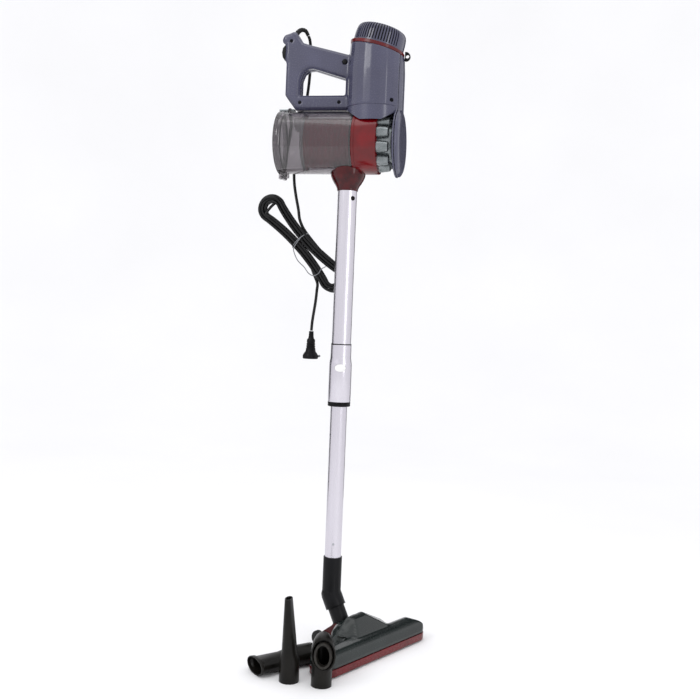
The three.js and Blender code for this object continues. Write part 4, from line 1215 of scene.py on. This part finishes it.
    def build_shroud(self) -> None:
        """Turns the ribbed red shroud and its pale skirt."""
        first, last = -76.0, self.housing_end - 3.4
        profile = [(42, -80), (50, -80), (50, -76.3), (44, -76.3)]
        pitch = (last - first) / self.shroud_ribs
        for i in range(self.shroud_ribs):
            at = first + i * pitch
            profile += [(44, at + 0.2), (44, at + pitch * 0.5), (42.9, at + pitch * 0.58),
                        (42.9, at + pitch * 0.9)]
        profile += [(44, last), (42, last)]
        shroud = turned("shroud", Axis.X, self.centre, profile, 80)
        stand_in(shroud, "cyclone_shroud", "dust_cup", SHROUD_RED)
        skirt = turned("skirt", Axis.X, self.centre, [
            (50.2, -80.2), (52.6, -80.2), (53.2, -79.4), (53.2, -75.4), (52.6, -74.6),
            (50.2, -74.6)], 96)
        finish_piece(skirt, "shroud_skirt_seal", "dust_cup", MILK)

    def build_vane(self) -> None:
        """Draws the curved web that turns the air behind the lid."""
        outline = [place(x, -12, z) for x, z in (
            (-97, 948), (-80.6, 951), (-80.6, 926), (-86, 922), (-93, 926), (-98, 936))]
        vane = slab("vane", outline, Vector((0, 2.4 * MM, 0)))
        round_edges(vane, 0.8, 3)
        finish_piece(vane, "cup_vane", "dust_cup", MILK)

    def build(self) -> None:
        """Makes all the cup's pieces."""
        self.build_cup()
        self.build_lid()
        self.build_housing()
        self.build_bell()
        self.build_crown()
        self.build_shroud()
        self.build_vane()
        Casting("lid_latch", "lid_latch", "crown_silver", SILVER, 0.5, 2).build()
        dress_node("lid_seal", RUBBER)
        dress_node("lid_hinge_pin", STEEL)
        dress_node("cup_gasket", RUBBER)
        dress_node("foam_filter", FOAM)


# ---------------------------------------------------------------- hand unit
@dataclass
class HandUnit:
    """The motor barrel, its handle loop, the slanted exhaust cap and the small fittings."""

    skirt: float = 48.6
    skirt_wall: float = 2.4
    skirt_reach: tuple[float, float] = (940.0, 966.4)
    cap_radius: float = 46.5
    cap_height: float = 38.0
    cap_steps: int = 112
    screws: tuple = (("screw_horn", -112, 1090, 17), ("screw_bridge_lid", -92, 977.5, 17),
                     ("screw_bridge_motor", -19, 977.5, 17), ("screw_barrel", 80, 976, 36.96))

    def slanted(self) -> Matrix:
        """The tilt of the exhaust cap about its seat.

        Returns:
            The tilt as a matrix.
        """
        return turned_about(place(BARREL_X, 0, SLANT_Z), Axis.Y, SLANT)

    def build_housing(self) -> None:
        """Rounds the two clamshell halves and the rear cover."""
        for node, slot, finish in (("housing_left", "hand_unit_plastic", SLATE),
                                   ("housing_right", "hand_unit_plastic", SLATE),
                                   ("rear_cover", "rear_cover_plastic", SLATE_WITH_PAINTED_LIGHT)):
            shell = softened(recast(node), 1.3, 9)
            stand_in(shell, node, "motor_unit", finish, 80)

    def build_skirt(self) -> None:
        """Carries the barrel's wall down to the cup, cut to the cup's curve."""
        inner, outer = self.skirt, self.skirt + self.skirt_wall
        low, high = self.skirt_reach
        skirt = turned("skirt_wall", Axis.Z, place(BARREL_X, 0, 0), [
            (inner, low), (outer, low), (outer, high), (inner, high)], 96)
        cup = rod("cup", place(-200, 0, CUP_Z), place(200, 0, CUP_Z), CUP_RADIUS + 2.4, 112)
        carve(skirt, cup)
        finish_piece(skirt, "barrel_skirt", "motor_unit", SLATE)

    def build_trim(self) -> None:
        """Turns the red trim ring and slants it."""
        ring = turned("trim", Axis.Z, place(BARREL_X, 0, SLANT_Z), [
            (40, -3), (48.4, -3), (49, -2.3), (49, 2.3), (48.4, 3), (40, 3)], 96)
        lean = Matrix.Identity(4)
        lean[2][0] = -math.tan(SLANT)
        seat = place(BARREL_X, 0, SLANT_Z)
        ring.data.transform(Matrix.Translation(seat) @ lean @ Matrix.Translation(-seat))
        stand_in(ring, "trim_ring", "motor_unit", RED)

    def build_cap(self) -> None:
        """Turns the exhaust cap and sinks its fine air slots between the ribs."""
        r, h, seat = self.cap_radius, self.cap_height, place(BARREL_X, 0, SLANT_Z)
        cap = turned("cap", Axis.Z, seat, [
            (r - 0.4, 3.2), (r, 3.6), (r, 6), (r - 0.2, h * 0.45), (r - 0.6, h * 0.62),
            (r - 1.4, h * 0.75), (r - 2.8, h * 0.85), (r - 5, h * 0.92), (r - 8.5, h * 0.968),
            (r - 13, h * 0.99), (r - 18.5, h), (0, h), (0, h - 2.6), (r - 18, h - 2.6),
            (r - 11.6, h * 0.97 - 2.6), (r - 5.6, h * 0.85 - 1.3), (r - 3.1, h * 0.6),
            (r - 2.6, 3.2)], self.cap_steps)
        step = FULL / self.cap_steps

        def in_slot(centre: Vector, normal: Vector) -> bool:
            """Whether a face lies in every second column of the outer wall."""
            spot = centre - seat
            radius = math.hypot(spot.x, spot.y)
            angle = math.atan2(spot.y, spot.x)
            column = round(angle / step - 0.5)
            outside = normal.x * spot.x + normal.y * spot.y > 0
            return (outside and radius > (r - 9) * MM and 6 * MM < spot.z < h * 0.95 * MM
                    and column % 2 == 0 and abs(angle) > 0.55)

        pick_faces(cap, in_slot)
        bpy.ops.mesh.inset(thickness=0.3 * MM, depth=-1.6 * MM)
        close_edit()
        cap.data.transform(self.slanted())
        cap.data.materials.append(SLATE.material())
        # The sunk slot floors take the black finish: painted shade standing for the dark depth of
        # the open air slots.
        cap.data.materials.append(BLACK.material())
        lean = self.slanted().inverted()
        for face in cap.data.polygons:
            spot = lean @ face.center - seat
            radius = math.hypot(spot.x, spot.y)
            face.material_index = int(face.select and radius < (r - 1.2) * MM)
        stand_in(cap, "exhaust_cap", "exhaust_cap", SLATE, 40)

    def build_screws(self) -> None:
        """Makes one cross-head screw and sets it in the four bosses."""
        head = rod("head", place(0, 0, 0), place(0, 2.1, 0), 3.2, 32)
        round_edges(head, 0.5, 3)
        shank = rod("shank", place(0, 2.0, 0), place(0, 22, 0), 1.6, 16)
        cross = [brick("cut", place(-2, -1, -0.4), place(2, 1, 0.4)),
                 brick("cut", place(-0.4, -1, -2), place(0.4, 1, 2))]
        carve(head, *cross)
        screw = joined("screw", [head, shank])
        for name, x, z, face in self.screws:
            copy = own_copy(screw, Matrix.Translation(Vector((x, 0.6 - face, z)) * MM))
            stand_in(copy, name, "motor_unit", SCREW)
        bpy.data.objects.remove(screw)

    def build(self) -> None:
        """Makes all the hand unit's pieces."""
        self.build_housing()
        self.build_skirt()
        self.build_trim()
        self.build_cap()
        self.build_screws()
        Casting("power_switch", "power_switch", "black_plastic", BLACK, 1.2, 3).build()
        Casting("release_button", "release_button", "black_plastic", BLACK, 0.7, 3).build()
        Casting("strap_eye", "motor_unit", "black_plastic", BLACK, 0.8, 3).build()
        for node, finish in (("exhaust_filter", PAPER), ("motor", STEEL), ("motor_mount", RUBBER),
                             ("impeller", BLACK)):
            dress_node(node, finish)


# ---------------------------------------------------------------- floor head
@dataclass
class FloorHead:
    """The wide suction head, its red bumper, the rear carriage with wheels, and the neck."""

    wheel_radius: float = 13.0
    wheel_x: float = -5.0
    wheel_inner: float = 21.0
    wheel_width: float = 10.0

    def build_wheel(self, side: int, name: str) -> None:
        """Turns one wheel with a grooved tyre.

        Args:
            side: -1 for the left wheel, 1 for the right one.
            name: The frame node that it stands for.
        """
        r, w = self.wheel_radius, self.wheel_width
        wheel = turned("wheel", Axis.Y, place(self.wheel_x, side * (self.wheel_inner + w / 2), r), [
            (2.2, -w / 2), (r - 4, -w / 2), (r - 1, -w / 2 + 0.8), (r, -w / 2 + 2), (r, -1.4),
            (r - 0.8, -0.9), (r - 0.8, 0.9), (r, 1.4), (r, w / 2 - 2), (r - 1, w / 2 - 0.8),
            (r - 4, w / 2), (r - 5, w / 2 - 1.4), (5, w / 2 - 1.4), (4.6, w / 2), (2.2, w / 2)], 56)
        wheel.data.transform(turned_about(place(0, 0, 0), Axis.Z, HEAD_TURN))
        stand_in(wheel, name, name, RUBBER)

    def build_cowl(self) -> bpy.types.Object:
        """Fills the wedge that runs from the hump down over the cover's front and far side.

        Returns:
            The wedge, to be run into the cover.
        """
        corners = [on_head(x, y, z) for x, y, z in (
            (52, -20, 63), (52, 22, 64), (66, -12, 60), (66, 20, 61), (52, -52, 36),
            (52, 84, 36), (92, -34, 36), (92, 62, 36))]
        wedge = traced(corners, "cowl")
        bpy.ops.mesh.convex_hull()
        close_edit()
        bake_place(wedge)
        tidy_mesh(wedge)
        return wedge

    def build_joint_painted_highlight(self) -> None:
        """Lays a thin pale steel line between the cover and the bumper at the near end: a painted
        highlight along the joint.
        """
        points = [on_head(x, y, 15.1) for x, y in (
            (66.2, -40), (66.2, -118), (68, -128), (74, -137), (84, -142), (100, -142.6))]
        line = as_mesh(tube_curve("line", smooth_line(points, 0.003), 0.45, None, 2))
        finish_piece(line, "cover_joint_painted_highlight", "floor_head", STEEL)

    def build(self) -> None:
        """Makes all the head's pieces."""
        body = "floor_head"
        cowl = self.build_cowl()
        cover = softened(joined("cover", [recast("head_cover"), cowl]), 1.2, 40)
        stand_in(cover, "head_cover", body, DARK_GREEN, 80)
        for casting in (
                Casting("bumper_frame", body, "bumper_red", RED, 0.9, 3),
                Casting("sole_plate", body, "black_plastic", BLACK, 0.6, 2),
                Casting("glide_left", body, "black_plastic", BLACK, 0.8, 3),
                Casting("glide_right", body, "black_plastic", BLACK, 0.8, 3),
                Casting("brush_strip_rear", body, "bristle", BRISTLE, 0.3, 2),
                Casting("brush_strip_front", body, "bristle", BRISTLE, 0.3, 2),
                Casting("rear_carriage", body, "black_plastic", CARRIAGE_RED_PAINTED_SHADE, 0.7, 2),
                Casting("neck_pipe", "neck_link", "black_plastic", BLACK, 0.8, 3),
                Casting("neck_socket", "stick_base", "black_plastic", BLACK, 0.8, 3)):
            casting.build()
        self.build_wheel(-1, "wheel_left")
        self.build_wheel(1, "wheel_right")
        self.build_joint_painted_highlight()
        for node in ("wheel_axle", "tilt_pin_left", "tilt_pin_right"):
            dress_node(node, STEEL)


# ---------------------------------------------------------------- loose tools
@dataclass
class Tools:
    """The crevice tool, the dusting brush and the upholstery nozzle standing by the head."""

    def build(self) -> None:
        """Makes the tools' pieces."""
        for node, body, finish, bevel in (
                ("crevice_tool", "crevice_tool", TOOL_BLACK, 0.5),
                ("dusting_brush", "dusting_brush", TOOL_BLACK, 0.5),
                ("brush_bristles", "dusting_brush", BRISTLE, 0.0),
                ("upholstery_nozzle", "upholstery_nozzle", TOOL_BLACK, 0.5)):
            slot = "bristle" if finish is BRISTLE else "black_plastic"
            Casting(node, body, slot, finish, bevel, 2, 42).build()


# ---------------------------------------------------------------- studio
def hide_from(piece: bpy.types.Object, *rays: str) -> None:
    """Hides a piece of the studio from some kinds of rays.

    Args:
        piece: The piece.
        rays: The kinds, such as camera, diffuse, glossy, transmission and shadow.
    """
    for ray in rays:
        setattr(piece, f"visible_{ray}", False)


@dataclass
class Studio:
    """The pale floor and its sweep, the dark cards, the soft lights and the camera."""

    camera_turn: float = math.radians(11)
    camera_distance: float = 1.66
    camera_height: float = 0.586
    camera_right: float = 0.014
    camera_roll: float = math.radians(2.3)
    lens: float = 47.0
    shift: float = -0.043
    room: float = 2.4
    bend: float = 2.5
    bend_steps: int = 24
    wall: float = 9.0
    card_reach: float = 1.4
    card_height: float = 0.8
    card_size: tuple[float, float, float] = (0.75, 2.6, 1.0)

    def build_camera(self) -> None:
        """Sets the camera level, in front of the tube and a little towards the motor's side."""
        away = Vector((math.sin(self.camera_turn), -math.cos(self.camera_turn), 0))
        right = Vector((math.cos(self.camera_turn), math.sin(self.camera_turn), 0))
        spot = Vector((AXIS_X, AXIS_Y, self.camera_height))
        spot += away * self.camera_distance + right * self.camera_right
        bpy.ops.object.camera_add(location=spot)
        camera = bpy.context.object
        turn = (-away).to_track_quat("-Z", "Y").to_matrix()
        roll = Matrix.Rotation(self.camera_roll, 3, "Z")
        camera.rotation_euler = (turn @ roll).to_euler()
        camera.data.lens = self.lens
        camera.data.sensor_width = 36
        camera.data.shift_y = self.shift
        bpy.context.scene.camera = camera

    def build_floor(self) -> None:
        """Lays a wide pale floor that sweeps up into the wall without an edge."""
        deselect()
        bpy.ops.mesh.primitive_circle_add(vertices=96, radius=self.room, fill_type="NGON")
        floor = bpy.context.object
        floor.name = "floor"
        bpy.ops.mesh.primitive_circle_add(vertices=96, radius=self.room)
        sweep = bpy.context.object
        sweep.name = "sweep"
        edit(sweep)
        angles = [FULL / 4 * step / self.bend_steps for step in range(self.bend_steps + 1)]
        for low, high in zip(angles, angles[1:]):
            before, after = (self.room + self.bend * math.sin(angle) for angle in (low, high))
            rise = self.bend * (math.cos(low) - math.cos(high))
            bpy.ops.mesh.extrude_edges_move()
            bpy.ops.transform.resize(value=(after / before, after / before, 1))
            bpy.ops.transform.translate(value=(0, 0, rise))
        bpy.ops.mesh.extrude_edges_move(TRANSFORM_OT_translate={"value": (0, 0, self.wall)})
        close_edit()
        bpy.ops.object.shade_smooth()
        hide_from(sweep, "diffuse", "glossy", "transmission", "shadow")
        paint = Finish("matt_white_floor", "#f8f8f8", "#fcfcfc", 0.85, 0.05, patch=900, grain=60,
                       specular=0.1)
        for piece in (floor, sweep):
            piece.data.materials.append(paint.material())

    def build_light(self, name: str, spot: tuple, size: tuple, power: float,
                    aim: tuple = (0, 0.05, 0.6)) -> None:
        """Hangs one soft lamp.

        Args:
            name: The lamp's name.
            spot: Where it is, in metres.
            size: Its width and height, in metres.
            power: Its power, in watts.
            aim: The point it shines at.
        """
        deselect()
        bpy.ops.object.light_add(type="AREA", location=spot)
        lamp = bpy.context.object
        lamp.name = name
        lamp.data.shape = "RECTANGLE"
        lamp.data.size, lamp.data.size_y = size
        lamp.data.energy = power
        lamp.rotation_euler = (Vector(aim) - Vector(spot)).to_track_quat("-Z", "Y").to_euler()

    def build_card(self, name: str, turn: float) -> None:
        """Stands a tall dark card beside the room, which only shows as an edge in the gloss.

        Args:
            name: The card's name.
            turn: Which way from the object it stands, in radians.
        """
        deselect()
        spot = Vector((self.card_reach * math.cos(turn), self.card_reach * math.sin(turn),
                       self.card_height))
        bpy.ops.mesh.primitive_plane_add(size=1, location=spot)
        card = bpy.context.object
        card.name = name
        card.scale = self.card_size
        card.rotation_euler = Vector((-spot.x, -spot.y, 0)).to_track_quat("Z", "Y").to_euler()
        paint = Finish("black_felt_card", "#16161a", "#1c1c20", 0.9, 0.05, patch=300, grain=30)
        card.data.materials.append(paint.material())
        hide_from(card, "camera", "diffuse", "shadow", "transmission")

    def build_sky(self) -> None:
        """Gives the room its even white light."""
        world = bpy.data.worlds.new("white_room")
        bpy.context.scene.world = world
        world.use_nodes = True
        sky = world.node_tree.nodes["Background"]
        sky.inputs["Color"].default_value = linear("#fcfcff")
        sky.inputs["Strength"].default_value = 1.0

    def build(self) -> None:
        """Builds the whole studio."""
        self.build_floor()
        self.build_sky()
        self.build_light("key", (-1.6, -2.2, 2.3), (1.1, 1.1), 18)
        self.build_light("fill", (2.2, -1.8, 1.2), (0.5, 1.8), 9)
        self.build_light("top", (0.2, -0.4, 2.8), (1.6, 1.0), 6)
        self.build_card("card_left", math.radians(155))
        self.build_card("card_right", math.radians(76))
        self.build_camera()
        bpy.context.scene.view_settings.view_transform = "Standard"


def main() -> None:
    """Builds the pieces in order."""
    logging.basicConfig(level=logging.INFO, format="%(message)s")
    for part in (Studio(), MainsCord(), Tube(), DustCup(), HandUnit(), FloorHead(), Tools()):
        LOG.info("building %s", type(part).__name__)
        part.build()
    deselect()


if __name__ == "__main__":
    main()
